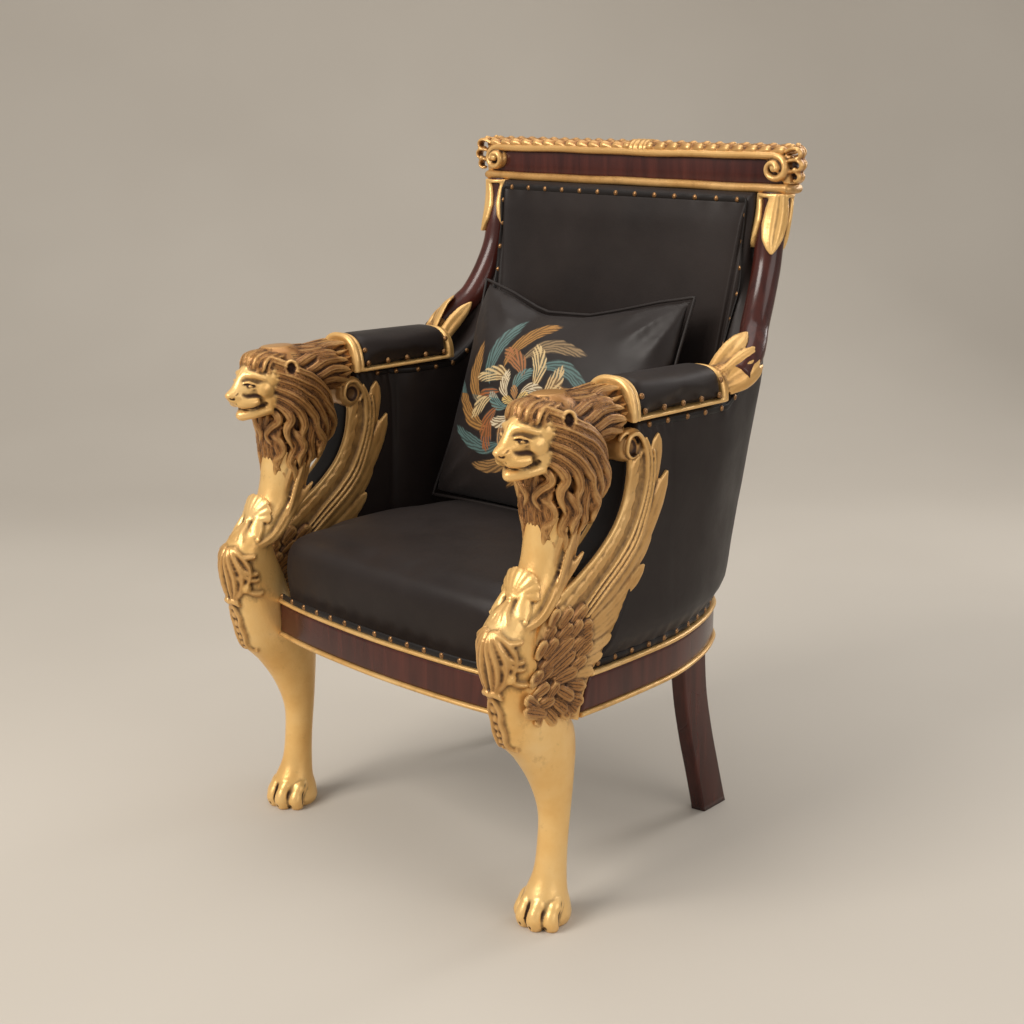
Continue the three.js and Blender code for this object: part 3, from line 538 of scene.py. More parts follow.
# ------------------------------------------------------------------ lion's head and mane
MANE = [
    [560, 14, 29, 30], [575, 19, 30, 32], [590, 23, 32, 35], [604, 28, 35, 39], [620, 34, 41, 46], [642, 40, 46, 54],
    [662, 42, 48, 58], [690, 38, 49, 59], [716, 35, 50, 58], [748, 29, 48, 55], [776, 20, 42, 50], [796, 12, 24, 36], [801, 10, 10, 16],
]
CROWN = [[-56, 766, 9, 18], [-42, 760, 23, 30], [-20, 755, 33, 38], [24, 750, 35, 42], [65, 750, 35, 39],
         [100, 752, 35, 36], [140, 755, 36, 35]]
FACE = [
    [-90, 724, 732, 5.5], [-86, 718, 735, 9.5], [-76, 711, 741, 13], [-66, 706, 751, 17], [-56, 703, 764, 21], [-46, 702, 777, 26],
    [-32, 700, 787, 32.5], [0, 692, 792, 41], [24, 700, 795, 43],
]
MANE_DRIFT = [(560, 11), (604, 8), (642, 10), (690, 8), (716, 5), (748, 3), (776, 1), (801, 0)]


def mane_spot(theta, z, lift=0.0):
    """Point on the mane at an angle (degrees, -90 front, 0 outer side, 90 rear) and height, and the way out."""
    yc, a, b = table(MANE, z, False).T
    t = np.radians(theta)
    c, s = np.cos(t), np.sin(t)
    square = ramp(np.asarray(z, float), [(640, 1.0), (690, 0.80), (780, 0.80), (800, 1.0)])
    c, s = np.sign(c) * np.abs(c) ** square, np.sign(s) * np.abs(s) ** square
    out = unit(np.stack([np.sign(c) * np.abs(c) ** (2 / square - 1) / a, np.sign(s) * np.abs(s) ** (2 / square - 1) / b, 0 * t + 0.002], -1))
    return np.stack([a * c, yc + b * s, z], -1) + out * np.asarray(lift)[..., None], out


def crown_spot(phi, y, lift=0.0):
    zc, h, w = table(CROWN, y, False).T
    t = np.radians(phi)
    out = unit(np.stack([np.cos(t) / w, 0 * t, np.sin(t) / h], -1))
    return np.stack([w * np.cos(t), y, zc + h * np.sin(t)], -1) + out * np.asarray(lift)[..., None], out


LOCK_WIDTH = [(0, 0.5), (0.12, 0.85), (0.4, 1.0), (0.7, 0.86), (0.88, 0.52), (1, 0.06)]
LOCK_LIFT = [(0, -3.0), (0.15, 0.0), (0.6, 1.6), (0.85, 2.6), (1, 0.6)]


def lock(clay, points, spot, wide, high, strands=3, extra=0.0, stations=30):
    p = spline(points, stations)
    t = np.linspace(0, 1, stations)
    path, out = spot(p[:, 0], p[:, 1], ramp(t, LOCK_LIFT) + extra)
    size = ramp(t, LOCK_WIDTH)
    clay.sweep(path, wide * size, high * (0.35 + 0.65 * size), out, 1.0, 40, strands)


def side_points(points):
    """Turns (depth, height) on the mane's outer side into (angle, height)."""
    out = []
    for y, z in points:
        yc, _, b = table(MANE, [z], False)[0]
        square = float(ramp(np.array([z]), [(640, 1.0), (690, 0.80), (780, 0.80), (800, 1.0)])[0])
        k = max(-0.992, min(0.992, (y + float(ramp(np.array([z]), MANE_DRIFT)[0]) - yc) / b))
        out.append((math.degrees(math.asin(math.copysign(abs(k) ** (1 / square), k))), z))
    return out


SIDE_LOCKS = [  # half width, height, lift, then (depth, height) points
    (9.5, 8, 3, [(-33, 786), (-18, 778), (4, 764), (34, 748), (60, 724), (77, 696), (84, 664)]),
    (9.5, 8, 4, [(-36, 772), (-22, 765), (2, 752), (30, 736), (54, 712), (67, 684), (74, 652)]),
    (9.0, 8, 3, [(-36, 757), (-20, 751), (4, 738), (28, 718), (46, 694), (56, 668), (60, 640)]),
    (8.5, 8, 4, [(-35, 743), (-19, 737), (0, 724), (18, 705), (33, 684), (38, 662), (46, 636)]),
    (8.5, 8, 3, [(-33, 729), (-18, 722), (-4, 709), (8, 692), (14, 673), (10, 654), (18, 628)]),
    (8.0, 8, 4, [(-31, 716), (-20, 709), (-11, 697), (-6, 683), (-10, 668), (-8, 652), (0, 628)]),
    (7.5, 7, 3, [(-31, 703), (-23, 694), (-20, 681), (-24, 667), (-25, 652), (-18, 632)]),
    (8.0, 7, 0, [(-30, 690), (-32, 668), (-26, 644), (-30, 620), (-22, 598), (-19, 576)]),
    (8.0, 7, 0, [(-18, 682), (-19, 660), (-14, 636), (-18, 612), (-10, 590), (-8, 568)]),
    (8.0, 7, 1, [(-4, 682), (-6, 658), (2, 636), (-2, 612), (4, 592), (3, 574)]),
    (8.0, 7, 0, [(10, 682), (14, 660), (10, 638), (16, 614), (13, 592)]),
    (8.5, 7, 1, [(26, 690), (30, 664), (26, 640), (32, 616), (27, 596)]),
    (9.0, 7, 0, [(44, 700), (50, 672), (44, 648), (47, 624), (40, 604)]),
    (9.5, 7, 1, [(62, 706), (69, 680), (64, 656), (62, 634), (54, 614)]),
    (9.0, 6, 0, [(80, 720), (86, 692), (83, 668), (78, 648), (68, 628)]),
    (9.0, 8, 7, [(48, 716), (58, 700), (71, 682), (80, 660), (78, 640), (72, 624)]),
    (7.5, 7, 6, [(30, 668), (42, 654), (49, 640), (44, 622), (47, 608)]),
    (7.0, 6, 5, [(-2, 664), (8, 650), (14, 634), (9, 618), (11, 602)]),
    (6.5, 6, 5, [(-24, 660), (-16, 646), (-12, 628), (-16, 610), (-12, 596)]),
]
REAR_LOCKS = [
    (10, 7, 0, [(60, 738), (68, 712), (62, 686), (70, 660), (66, 636), (62, 610)]),
    (10, 7, 0, [(75, 742), (80, 716), (74, 690), (80, 664), (76, 640), (78, 610)]),
]
MIDDLE_LOCKS = [
    (10, 7, 0, [(90, 745), (94, 716), (86, 690), (94, 664), (88, 640), (90, 606)]),
    (8, 7, 0, [(-90, 684), (-96, 656), (-86, 628), (-93, 600), (-90, 566)]),
]
FRONT_LOCKS = [
    (8, 7, 0, [(-72, 686), (-68, 660), (-75, 634), (-70, 608), (-74, 570)]),
    (7, 6, 4, [(-58, 668), (-64, 644), (-58, 622), (-64, 600), (-62, 582)]),
]
CROWN_LOCKS = [  # half width, height, lift, then (angle round the arm line, depth) points
    (9, 6, 0, [(80, -40), (84, -10), (77, 25), (84, 60), (78, 95), (82, 142)]),
    (9, 6, 0, [(63, -44), (67, -14), (57, 20), (65, 58), (57, 92), (62, 142)]),
    (9, 6, 0, [(45, -42), (49, -12), (39, 20), (45, 56), (37, 92), (42, 142)]),
    (9, 6, 0, [(28, -30), (28, 2), (19, 34), (26, 66), (18, 96), (22, 142)]),
    (9, 6, 0, [(8, 16), (0, 46), (6, 76), (-1, 106), (3, 142)]),
    (9, 6, 0, [(-14, 22), (-21, 50), (-15, 80), (-22, 108), (-17, 142)]),
    (9, 6, 0, [(-34, 30), (-41, 58), (-36, 86), (-42, 112), (-38, 142)]),
    (9, 6, 0, [(-56, 40), (-62, 66), (-57, 94), (-62, 118), (-59, 142)]),
    (9, 6, 0, [(-78, 50), (-84, 76), (-78, 104), (-82, 142)]),
    (8.5, 7, 5, [(20, 2), (34, 30), (45, 60), (44, 88), (34, 112)]),
    (8, 7, 5, [(3, 18), (13, 46), (24, 74), (23, 102), (14, 128)]),
    (8, 7, 5, [(-14, 32), (-5, 60), (4, 88), (0, 112), (-9, 132)]),
    (7.5, 6, 4, [(58, -12), (69, 12), (75, 38), (70, 64), (60, 86)]),
    (7.5, 6, 4, [(40, 48), (54, 72), (65, 98), (62, 122), (54, 138)]),
    (7, 6, 4, [(-32, 40), (-23, 66), (-20, 92), (-28, 116), (-36, 134)]),
    (6, 5, 7, [(30, 58), (36, 74), (34, 92), (28, 106)]),
    (6, 5, 7, [(64, 30), (56, 48), (54, 68), (58, 86)]),
]


def lion_head():
    # Face first: soft forms joined and smoothed.
    face = Clay()
    y = np.linspace(-93, 24, 44)
    low, high, half = table(FACE, y).T
    t = np.linspace(0, TAU, 44, endpoint=False)
    c, s = np.cos(t), np.sin(t)
    c, s = np.sign(c) * abs(c) ** 0.9, np.sign(s) * abs(s) ** 0.9
    face.loft(np.stack([half[:, None] * c, y[:, None] + 0 * c, ((low + high) / 2)[:, None] + ((high - low) / 2)[:, None] * s], -1))
    face.ball((0, -61, 693), (11.5, 12.5, 9.5))
    face.ball((0, -83.5, 727), (8.5, 7.5, 6.5))
    t = np.linspace(0, 1, 16)
    face.sweep(spline([(0, -44, 773), (0, -58, 760), (0, -66, 747), (0, -74, 736), (0, -80, 730)], 16), ramp(t, [(0, 13), (0.4, 9.5), (1, 8.5)]), [6.5] * 16, (0, -0.6, 0.8))
    half_face = Clay()
    half_face.sweep(spline([(6, -58, 759), (14, -56, 760), (23, -49, 758), (31, -38, 753)], 14), np.linspace(6.5, 4.5, 14), np.linspace(5, 3.5, 14), (0, -0.5, 0.85))
    half_face.ball((6, -79.5, 724.5), (5.5, 6.5, 5.2))
    half_face.sweep(spline([(4, -75, 715), (10.5, -67, 714.5), (17.5, -56, 714.5), (24, -45, 717)], 16), ramp(t, [(0, 7), (0.35, 9.5), (0.7, 9.5), (1, 7.5)]),
                    ramp(t, [(0, 7.5), (0.35, 10), (0.7, 9.5), (1, 7.5)]), (0.5, -0.6, 0.3), n=24, under=1.0)
    half_face.ball((24, -31, 735), (14, 21, 17))
    half_face.ball((28, -18, 718), (10, 20, 16))
    half_face.sweep(spline([(4, -63, 693.5), (12, -54, 695), (20, -41, 698), (27, -22, 702)], 16), ramp(t, [(0, 7.5), (1, 9)]), [8] * 16, (0, -0.3, -1), n=24, under=1.0)
    half_face.ball((31, -16, 752), (11, 21, 20))
    face.both_sides(half_face)
    fv, ff, _, _ = fuse(face, 1.7)
    fv = relax(fv, ff, 9)

    head = Clay()
    head.put(fv, np.concatenate([ff[:, :3], ff[:, [0, 2, 3]]]), 0.1)
    # Solid core under the hair.
    z = np.linspace(592, 798, 30)
    yc, a, b = table(MANE, z, False).T
    t = np.linspace(0, TAU, 40, endpoint=False)
    rings = np.stack([a[:, None] * np.cos(t) * 0.98, yc[:, None] + b[:, None] * np.sin(t) * 0.98, z[:, None] + 0 * t], -1)
    rings[..., 1] = np.maximum(rings[..., 1], np.where(z > 684, -16, -60)[:, None])
    head.loft(rings, 1.0)
    y = np.linspace(-26, 141, 30)
    zc, h, w = table(CROWN, y, False).T
    head.loft(np.stack([w[:, None] * np.cos(t) * 0.98, y[:, None] + 0 * t, zc[:, None] + h[:, None] * np.sin(t) * 0.98], -1), 1.0)
    half = Clay()
    for wide, high, lift, points in SIDE_LOCKS:
        lock(half, side_points(points), mane_spot, wide, high, 3, lift)
    for wide, high, lift, points in REAR_LOCKS + FRONT_LOCKS:
        lock(half, points, mane_spot, wide, high, 3, lift)
    for wide, high, lift, points in CROWN_LOCKS:
        lock(half, points, crown_spot, wide, high, 3, lift)
    # Small hooked curls along the hairline.
    t = np.linspace(0, 1, 26)
    for s, y0, turn, rise in ((2.5, -52, 1, 1), (8.5, -52, -1, 0), (15, -49, 1, 1.5), (21.5, -45, -1, 0), (28, -39, 1, 1), (33.5, -32, -1, -1)):
        top = 785 - 0.22 * s + rise
        p = [(s * 0.9, y0 + 34, top + 8), (s, y0 + 18, top + 6), (s + turn, y0 + 7, top + 1), (s + 1.5 * turn, y0 + 2, top - 7),
             (s + 0.5 * turn, y0 + 0.5, top - 13), (s - 2.2 * turn, y0 + 0.5, top - 15.5), (s - 3.6 * turn, y0 + 2, top - 11.5)]
        half.sweep(spline(p, 26), ramp(t, [(0, 3), (0.3, 4.4), (0.65, 3.6), (1, 1.3)]), ramp(t, [(0, 3), (0.3, 4), (1, 1.6)]), (0.15, -0.6, 0.75), 1.0, 28, 2)
    # Ear: a cupped shell.
    half.ball((43, 9, 766), (9, 12, 13), 0.6)
    ring = [(46 + 3 * math.cos(a), 3 + 9.5 * math.cos(a), 767 + 11 * math.sin(a)) for a in np.linspace(-2.9, 2.9, 24)]
    half.sweep(ring, [3.0] * 24, [4.2] * 24, (0.85, -0.5, 0.1), 0.5, 16)
    # Eyeball and lids.
    half.ball((17.5, -56.5, 743.2), (6.0, 5.2, 4.2), 0.25, 16)
    lid = spline([(9.5, -64.5, 742.5), (14.5, -63.4, 747.6), (21, -58, 747.8), (27, -49, 742.5)], 16)
    half.sweep(lid, 1.9 * np.sin(np.linspace(0.35, 2.8, 16)) + 0.5, [2.2] * 16, (0.3, -0.9, 0.2), 0.2, 12)
    lid = spline([(10.5, -64, 741.2), (15.5, -62, 738.0), (21, -57, 737.8), (26.5, -49, 741.0)], 16)
    half.sweep(lid, 1.3 * np.sin(np.linspace(0.35, 2.8, 16)) + 0.5, [1.8] * 16, (0.3, -0.9, 0.2), 0.2, 12)
    head.both_sides(half)
    for wide, high, lift, points in MIDDLE_LOCKS:
        lock(head, points, mane_spot, wide, high, 3, lift)
    v, f, tone, across = fuse(head, HEAD_VOXEL)
    v = relax(v, f, 1, 0.35)
    n = normals(v, f)
    # dark: painted shade laid into the cuts of the face, the ear hole and the pupil; it joins the groove depth in the
    # cut attribute.
    dark = np.zeros(len(v))
    for s in (1, -1):
        cuts = [  # mouth, its open corner, nostril, wing of the nose, eye, brow, forehead, cheek, whiskers
            ([(0, -82, 706), (s * 6, -78, 705), (s * 14, -68, 704.5), (s * 21, -57, 705.5), (s * 27, -45, 708.5)], 1.8, 3.6, 1.1),
            ([(s * 22, -53, 707.0), (s * 27, -44, 709.5), (s * 31, -35, 712.5)], 3.0, 5.0, 1.3),
            ([(s * 4.5, -90, 724), (s * 8.0, -87, 721.5), (s * 10.5, -82, 724)], 1.9, 3.0, 1.2),
            ([(s * 10.5, -82, 727), (s * 11.5, -76, 733)], 1.8, 1.0, 0.35),
            ([(s * 9, -66, 744.0), (s * 14.5, -64, 745.2), (s * 21, -59, 744.6), (s * 27, -49, 741.5)], 1.3, 2.4, 1.3),
            ([(s * 7.5, -67, 743.0), (s * 10, -66, 740)], 1.8, 1.8, 1.0),
            ([(s * 9.5, -66, 742.5), (s * 15.5, -62.5, 739.6), (s * 21, -58, 739.6), (s * 27, -49, 741)], 1.0, 1.4, 0.8),
            ([(s * 8, -68, 750), (s * 14, -64, 752), (s * 22, -58, 751.6), (s * 31, -45, 746)], 2.2, 1.4, 0.4),
            ([(s * 2.5, -68, 757), (s * 3.0, -63, 765), (s * 3.4, -58, 772)], 1.8, 1.0, 0.35),
            ([(s * 12, -72, 731), (s * 18, -63, 727), (s * 25, -52, 727), (s * 31, -42, 722)], 3.2, 1.6, 0.3),
            ([(s * 24, -52, 734), (s * 32, -40, 731)], 3.0, 1.0, 0.1),
        ] + [([(s * (8 + 5 * k), -80 + 7.5 * k, 716 - 2 * j), (s * (9.5 + 5 * k), -77.5 + 7.5 * k, 715.8 - 2 * j)], 1.0, 0.7, 0.5)
             for j in range(3) for k in range(3)]
        for points, width, depth, shade in cuts:
            v, dark = carve(v, n, dark, points, width, depth, shade)
        # Ear hole pressed in with painted shade inside it, then painted shade for the pupil, where no hollow is cut.
        hole = np.linalg.norm((v - [s * 51, 1, 767]) / [1.0, 0.85, 1.05], axis=1)
        bell = np.exp(-(hole / 7.8) ** 4)
        v = v - np.array([s * 0.9, -0.4, 0]) * (bell * 8)[:, None]
        dark = np.maximum(dark, bell * 1.3)
        pupil = np.exp(-(np.linalg.norm(v - [s * 17.0, -61.6, 743.0], axis=1) / 2.2) ** 4)
        dark = np.maximum(dark, pupil * 0.9)
    v, dark = carve(v, n, dark, [(0, -91, 721), (0, -86, 714), (0, -82, 707)], 1.4, 1.6, 0.7)
    # A crisp plane at the arm's collar.
    v[:, 1] = np.minimum(v[:, 1], 141)
    return v, f, tone, across, dark


# ------------------------------------------------------------------ leg, chest and neck
LEG = [[0, 20, 31, 31], [8, 17, 34.5, 38], [16, 14.5, 36, 40], [32, 14, 34, 38], [50, 15, 30, 33], [80, 23, 24, 26], [125, 28, 22, 24],
       [175, 31, 23, 27], [225, 24, 29, 38], [272, 10, 34, 55], [308, -9, 36, 68], [350, -30, 37, 60], [390, -44, 36.5, 56],
       [430, -56, 36, 54], [468, -64, 35, 46], [492, -53, 34, 38], [530, -15, 31, 33], [562, 3, 31, 32], [628, 20, 35, 37]]


def leg_spot(s, z, lift=0.0):
    """Point on the front of the leg at a side offset and height, and the way out."""
    yc, a, b = table(LEG, z).T
    q = np.clip(s / a, -0.97, 0.97)
    out = unit(np.stack([q / a, -np.sqrt(1 - q * q) / b, 0 * q], -1))
    return np.stack([s, yc - b * np.sqrt(1 - q * q), z], -1) + out * np.asarray(lift)[..., None], out


def strip(clay, points, wide, high, tone=0.8, strands=0, lift=1.0, shape=LOCK_WIDTH, stations=24, n=26):
    """A carved strip lying on the leg: points are (side offset, height)."""
    p = spline(points, stations)
    t = np.linspace(0, 1, stations)
    path, out = leg_spot(p[:, 0], p[:, 1], np.full(stations, lift))
    clay.sweep(path, wide * ramp(t, shape), high * (0.4 + 0.6 * ramp(t, shape)), out, tone, n, strands)


LEAF_SHAPE = [(0, 0.25), (0.2, 0.8), (0.45, 1.0), (0.75, 0.75), (1, 0.06)]
SWAG_SHAPE = [(0, 0.35), (0.3, 0.85), (0.7, 1.0), (0.9, 0.6), (1, 0.05)]


def paw(body):
    half = Clay()
    for inner in (True, False):
        if inner:
            path = [(8.5, 12, 46), (9.4, 0, 43), (10.1, -11, 37), (10.5, -18, 28), (10.7, -21.5, 18.5), (10.5, -19.5, 9), (10.0, -13, 2)]
        else:
            path = [(21.5, 20, 42), (24.4, 11, 39), (26.8, 3, 33.5), (28.2, -3, 25), (28.8, -6.5, 16.5), (28.6, -4.5, 8.5), (27.5, 1.5, 2)]
        t = np.linspace(0, 1, 30)
        size = ramp(t, [(0, 8), (0.16, 11.6), (0.32, 12.9), (0.46, 11.4), (0.58, 12.2), (0.70, 13.2), (0.84, 12.2), (0.93, 11), (1, 9.5)])
        half.sweep(spline(path, 30), size * 0.98, size, (0, -0.7, 0.7), 0, 24, 0, 0, 1.0)
    body.both_sides(half)


def chest(body):
    # Scallop: broad flutes fanning up from its hinge round the front of the chest.
    hinge = np.array([0, -59, 520])
    ends = np.array([[0, -37, 558], [11, -36, 557], [22, -34, 551], [29, -34, 539], [32, -37, 525]], float)
    for k in range(-4, 5):
        end = ends[abs(k)] * [1 if k > 0 else -1, 1, 1]
        start = hinge + [k * 1.4, 0, 0]
        mid = (start + end) / 2 + unit(np.array([end[0] * 0.8, -22, 8.0])) * 3.5
        path = spline([start, mid, end + unit(np.array([end[0], -20, 0.0])) * 2.5], 18)
        t = np.linspace(0, 1, 18)
        body.sweep(path, ramp(t, [(0, 1.6), (0.85, 7.4), (1, 6.0)]), ramp(t, [(0, 3), (0.8, 4.4), (1, 3)]), unit(np.array([end[0] * 0.5, -25, 12.0])), 0.15, 22, 0, 0, 1.0)
    body.ball((0, -61, 518), (7, 5, 6), 0.3)
    # Husk of three petals under the hinge.
    for s, foot in ((-1, (-16, -88, 484)), (0, (0, -93, 482)), (1, (16, -88, 484))):
        path = spline([(s * 3, -62, 516), (s * 8, -78, 503), foot], 18)
        t = np.linspace(0, 1, 18)
        body.sweep(path, ramp(t, [(0, 3), (0.5, 5), (0.85, 8.6), (1, 5)]), ramp(t, [(0, 3), (0.85, 5), (1, 3)]), (s * 0.3, -0.8, 0.6), 0.35, 26, 2, 0.3, 1.0)
    half = Clay()
    # Shield beside the husk with a bead, and the hem that wraps the neck up to a pointed leaf.
    half.sweep(spline([(18, -50, 524), (23, -60, 508), (27, -66, 496)], 14), ramp(np.linspace(0, 1, 14), [(0, 8), (0.5, 12), (1, 9)]), [5.5] * 14, (0.7, -0.7, 0.1), 0.0, 30, 0, 0, 1.0)
    t = np.linspace(0, 1, 44)
    hem = spline([(2, -93, 483), (15, -88, 482), (27, -74, 482), (34, -56, 485), (36, -36, 493), (36, -18, 509), (35, -3, 527), (34, 11, 545), (36, 28, 562)], 44)
    half.sweep(hem, ramp(t, [(0, 3), (0.3, 5), (0.6, 9), (0.85, 9), (1, 1)]), ramp(t, [(0, 3), (0.6, 4), (1, 2)]), (0.85, -0.35, -0.1), 0.4, 28, 2)
    half.ball((34, -66, 493), (3.0, 3.0, 3.0), 0.0, 12)
    # Long creased leaves up the rear side of the neck into the mane.
    for path, wide in (([(33, -16, 508), (34, 0, 530), (34, 12, 556), (35, 22, 584), (36, 30, 608)], 9),
                       ([(30, 4, 512), (31, 18, 540), (31, 28, 566), (31, 38, 592), (32, 46, 616)], 9),
                       ([(26, -4, 560), (29, 2, 580), (33, 8, 600), (36, 14, 616)], 6)):
        half.sweep(spline(path, 26), wide * ramp(np.linspace(0, 1, 26), [(0, 0.3), (0.3, 0.9), (0.7, 1), (1, 0.5)]), [5.0] * 26, (0.9, 0.25, 0), 0.7, 30, 2, 0.36)
    half.sweep(spline([(32, 12, 530), (35, 24, 546), (37, 37, 562), (37, 47, 573)], 20), 7 * ramp(np.linspace(0, 1, 20), LEAF_SHAPE), [3.5] * 20, (0.9, 0.2, 0), 0.7, 24, 1, 0.4)
    # Drapery of long straight flutes from the husk down to the knot.
    for points, wide in (
        ([(4, 482), (11, 460), (16, 434), (14, 410), (6, 390)], 5.0),
        ([(2, 480), (4, 458), (7, 432), (6, 408), (3, 390)], 4.4),
        ([(7, 483), (19, 464), (25, 440), (22, 414), (9, 391)], 4.8),
        ([(9, 483), (25, 470), (31.5, 448), (28, 420), (12, 392)], 4.4),
    ):
        strip(half, points, wide, 4.5, 0.7, 1, 1.0, LOCK_WIDTH, 28, 26)
    # Swags hung across the shoulder, fading into its flank.
    for points, wide in (
        ([(13, 485), (20, 476), (28, 468), (33.5, 467), (35.2, 470)], 4.0),
        ([(15, 479), (22, 460), (28, 444), (33.6, 438), (35.2, 441)], 4.6),
        ([(18, 470), (24, 448), (29, 433), (33.8, 427), (35.3, 430)], 4.0),
        ([(21, 436), (25, 418), (30, 407), (34.2, 403), (35.6, 406)], 4.4),
    ):
        strip(half, points, wide, 4.4, 0.5, 1, 0.6, SWAG_SHAPE, 26, 26)
    spot, out = leg_spot(np.array([27.0]), np.array([416.0]), np.array([-1.0]))
    half.ball(spot[0], (8, 8, 9), 0.0, 18)
    # Knot, then the husk chain's paired stems with curled ends.
    strip(half, [(0, 389), (6, 392), (12, 389), (15, 383)], 5.5, 6, 0.6, 0, 1.5, [(0, 1), (0.6, 1), (1, 0.4)], 12, 18)
    strip(half, [(3, 382), (9, 362), (7, 345), (9, 328), (7, 313), (9, 303), (15, 298), (17, 304)], 3.8, 4.4, 0.7, 1, 1.0, [(0, 0.9), (0.3, 1.25), (0.7, 0.85), (1, 0.5)], 36, 22)
    body.both_sides(half)
    for z, size in ((384, 6), (367, 5.6), (351, 4.8), (337, 4.2), (325, 3.6), (314, 3.2), (304, 2.8)):
        spot, out = leg_spot(np.array([0.0]), np.array([float(z)]), np.array([0.6]))
        body.ball(spot[0], (size, 3.4, size * 1.3), 0.6, 16)


def support_body():
    body = Clay()
    z = np.concatenate([np.linspace(0, 60, 24), np.linspace(64, 628, 110)])
    yc, a, b = table(LEG, z).T
    t = np.linspace(0, TAU, 56, endpoint=False)
    body.loft(np.stack([a[:, None] * np.cos(t), yc[:, None] + b[:, None] * np.sin(t), z[:, None] + 0 * t], -1))
    # Rear shoulder running down from the winged slab into the leg.
    z = np.linspace(262, 372, 16)
    rear = ramp(z, [(262, 50), (300, 49), (345, 50), (372, 58)])
    mid = ramp(z, [(262, 24), (372, 22)])
    body.loft(np.stack([ramp(z, [(262, 22), (330, 30), (372, 33)])[:, None] * np.cos(t), mid[:, None] + (rear - mid)[:, None] * np.sin(t), z[:, None] + 0 * t], -1))
    paw(body)
    chest(body)
    v, f, tone, across = fuse(body, BODY_VOXEL)
    v = relax(v, f, 6, 0.5, ((v[:, 2] < 296) & (v[:, 2] > 56)).astype(float))
    v = relax(v, f, 1, 0.4)
    n = normals(v, f)
    # dark: painted shade laid into the cuts of the paw.
    dark = np.zeros(len(v))
    for s in (1, -1):
        for points, width, depth, shade in (
            ([(s * 18.5, -2, 50), (s * 19.5, -12, 36), (s * 20.5, -20, 20), (s * 20, -14, 2)], 2.2, 1.6, 0.8),
            ([(s * 34, 14, 46), (s * 37, 5, 34), (s * 38.5, 0, 18), (s * 37.5, 4, 2)], 2.2, 1.6, 0.7),
            ([(s * 10, -29, 4), (s * 10.4, -33, 11)], 3.0, 1.8, 0.9),
            ([(s * 28.5, -14, 4), (s * 28.9, -18, 10)], 2.8, 1.6, 0.8),
        ):
            v, dark = carve(v, n, dark, points, width, depth, shade)
    v, dark = carve(v, n, dark, [(0, -12, 50), (0, -22, 36), (0, -29, 18), (0, -20, 2)], 2.2, 1.8, 0.8)
    v[:, 2] = np.maximum(v[:, 2], 0)
    return v, f, tone, across, dark


# ------------------------------------------------------------------ slab, wings and volute
SLAB_FRONT = [(-40, 352), (-52, 425), (-40, 470), (-8, 506), (42, 532), (85, 559), (120, 591), (140, 626), (148, 660), (150, 690)]
SLAB_BACK = [(176, 712), (190, 682), (197, 640), (187, 585), (162, 528), (128, 468), (96, 412), (68, 380), (52, 345), (46, 318)]
LEAD = [(-34, 352), (-41, 378), (-45, 404), (-46, 430), (-42, 456), (-28, 482), (0, 510), (42, 532), (85, 559), (120, 591), (140, 626), (151, 658), (166, 690)]
TRAIL = [(30, 336), (45, 352), (60, 376), (78, 398), (93, 420), (108, 442), (128, 464), (152, 494), (172, 524), (188, 566), (212, 618), (216, 652), (204, 700)]
IN, OUT = -13.5, 34.5
VOLUTE = (149, 703, 21)
PRIMARIES = [  # root and tip (depth, height), half width, bow, lift
    ((156, 580), (208, 717), 15.5, 12, 0.4), ((64, 474), (229, 658), 16, 24, 2.4), ((54, 460), (197, 573), 14, 14, 0.8),
    ((52, 452), (180, 525), 12.5, 11, 2.4), ((52, 445), (160, 495), 11.5, 8, 0.8), ((50, 439), (139, 473), 11, 6, 2.4),
    ((46, 430), (122, 452), 10, 4, 0.8), ((44, 418), (108, 434), 9.5, 3, 2.4), ((36, 404), (91, 409), 9.5, 1, 0.8),
    ((28, 392), (70, 388), 9, -1, 2.4), ((20, 378), (56, 368), 9, -2, 0.8),
]
COVERTS = [
    (20, 466, 54, 490), (-4, 472, 22, 494), (-24, 478, -6, 500), (-32, 457, -12, 477), (-8, 452, 22, 470), (18, 450, 42, 472),
    (34, 451, 66, 463), (34, 439, 66, 448), (-40, 418, 24, 450), (16, 425, 46, 444), (34, 417, 66, 433), (-36, 436, -9, 457),
    (-24, 406, 29, 428), (20, 402, 52, 414), (-50, 436, -32, 460), (-52, 402, -18, 417), (-14, 394, 33, 399), (-62, 398, -40, 418),
    (-56, 382, -24, 393), (-26, 372, -6, 391), (-10, 384, 24, 360), (14, 383, 50, 371), (12, 366, 46, 348), (-46, 366, -74, 386),
    (-47, 364, -14, 369), (-16, 367, 11, 344), (-31, 350, -76, 368), (-33, 359, -8, 330), (-4, 356, 17, 333), (-45, 417, -62, 402),
    (-38, 354, -48, 336), (14, 354, 33, 335),
]
BAND = [
    (147, 636, 165, 690), (143, 612, 164, 664), (134, 588, 157, 638), (120, 566, 149, 612), (102, 548, 136, 590), (82, 534, 118, 570),
    (62, 521, 99, 553), (42, 509, 80, 538), (22, 497, 60, 524), (2, 484, 38, 510), (-18, 474, 16, 498), (-34, 462, -6, 484),
]
RIDGES = [
    [(46, 486), (83, 516), (117, 541), (146, 569), (165, 601), (178, 635), (183, 667), (177, 698), (160, 722), (140, 721), (134, 702), (145, 690), (160, 693)],
    [(50, 480), (92, 511), (126, 536), (155, 564), (173, 597), (186, 632), (191, 664), (187, 692), (174, 716)],
    [(54, 473), (100, 506), (136, 532), (164, 561), (182, 597), (194, 634), (199, 668), (195, 694)],
]


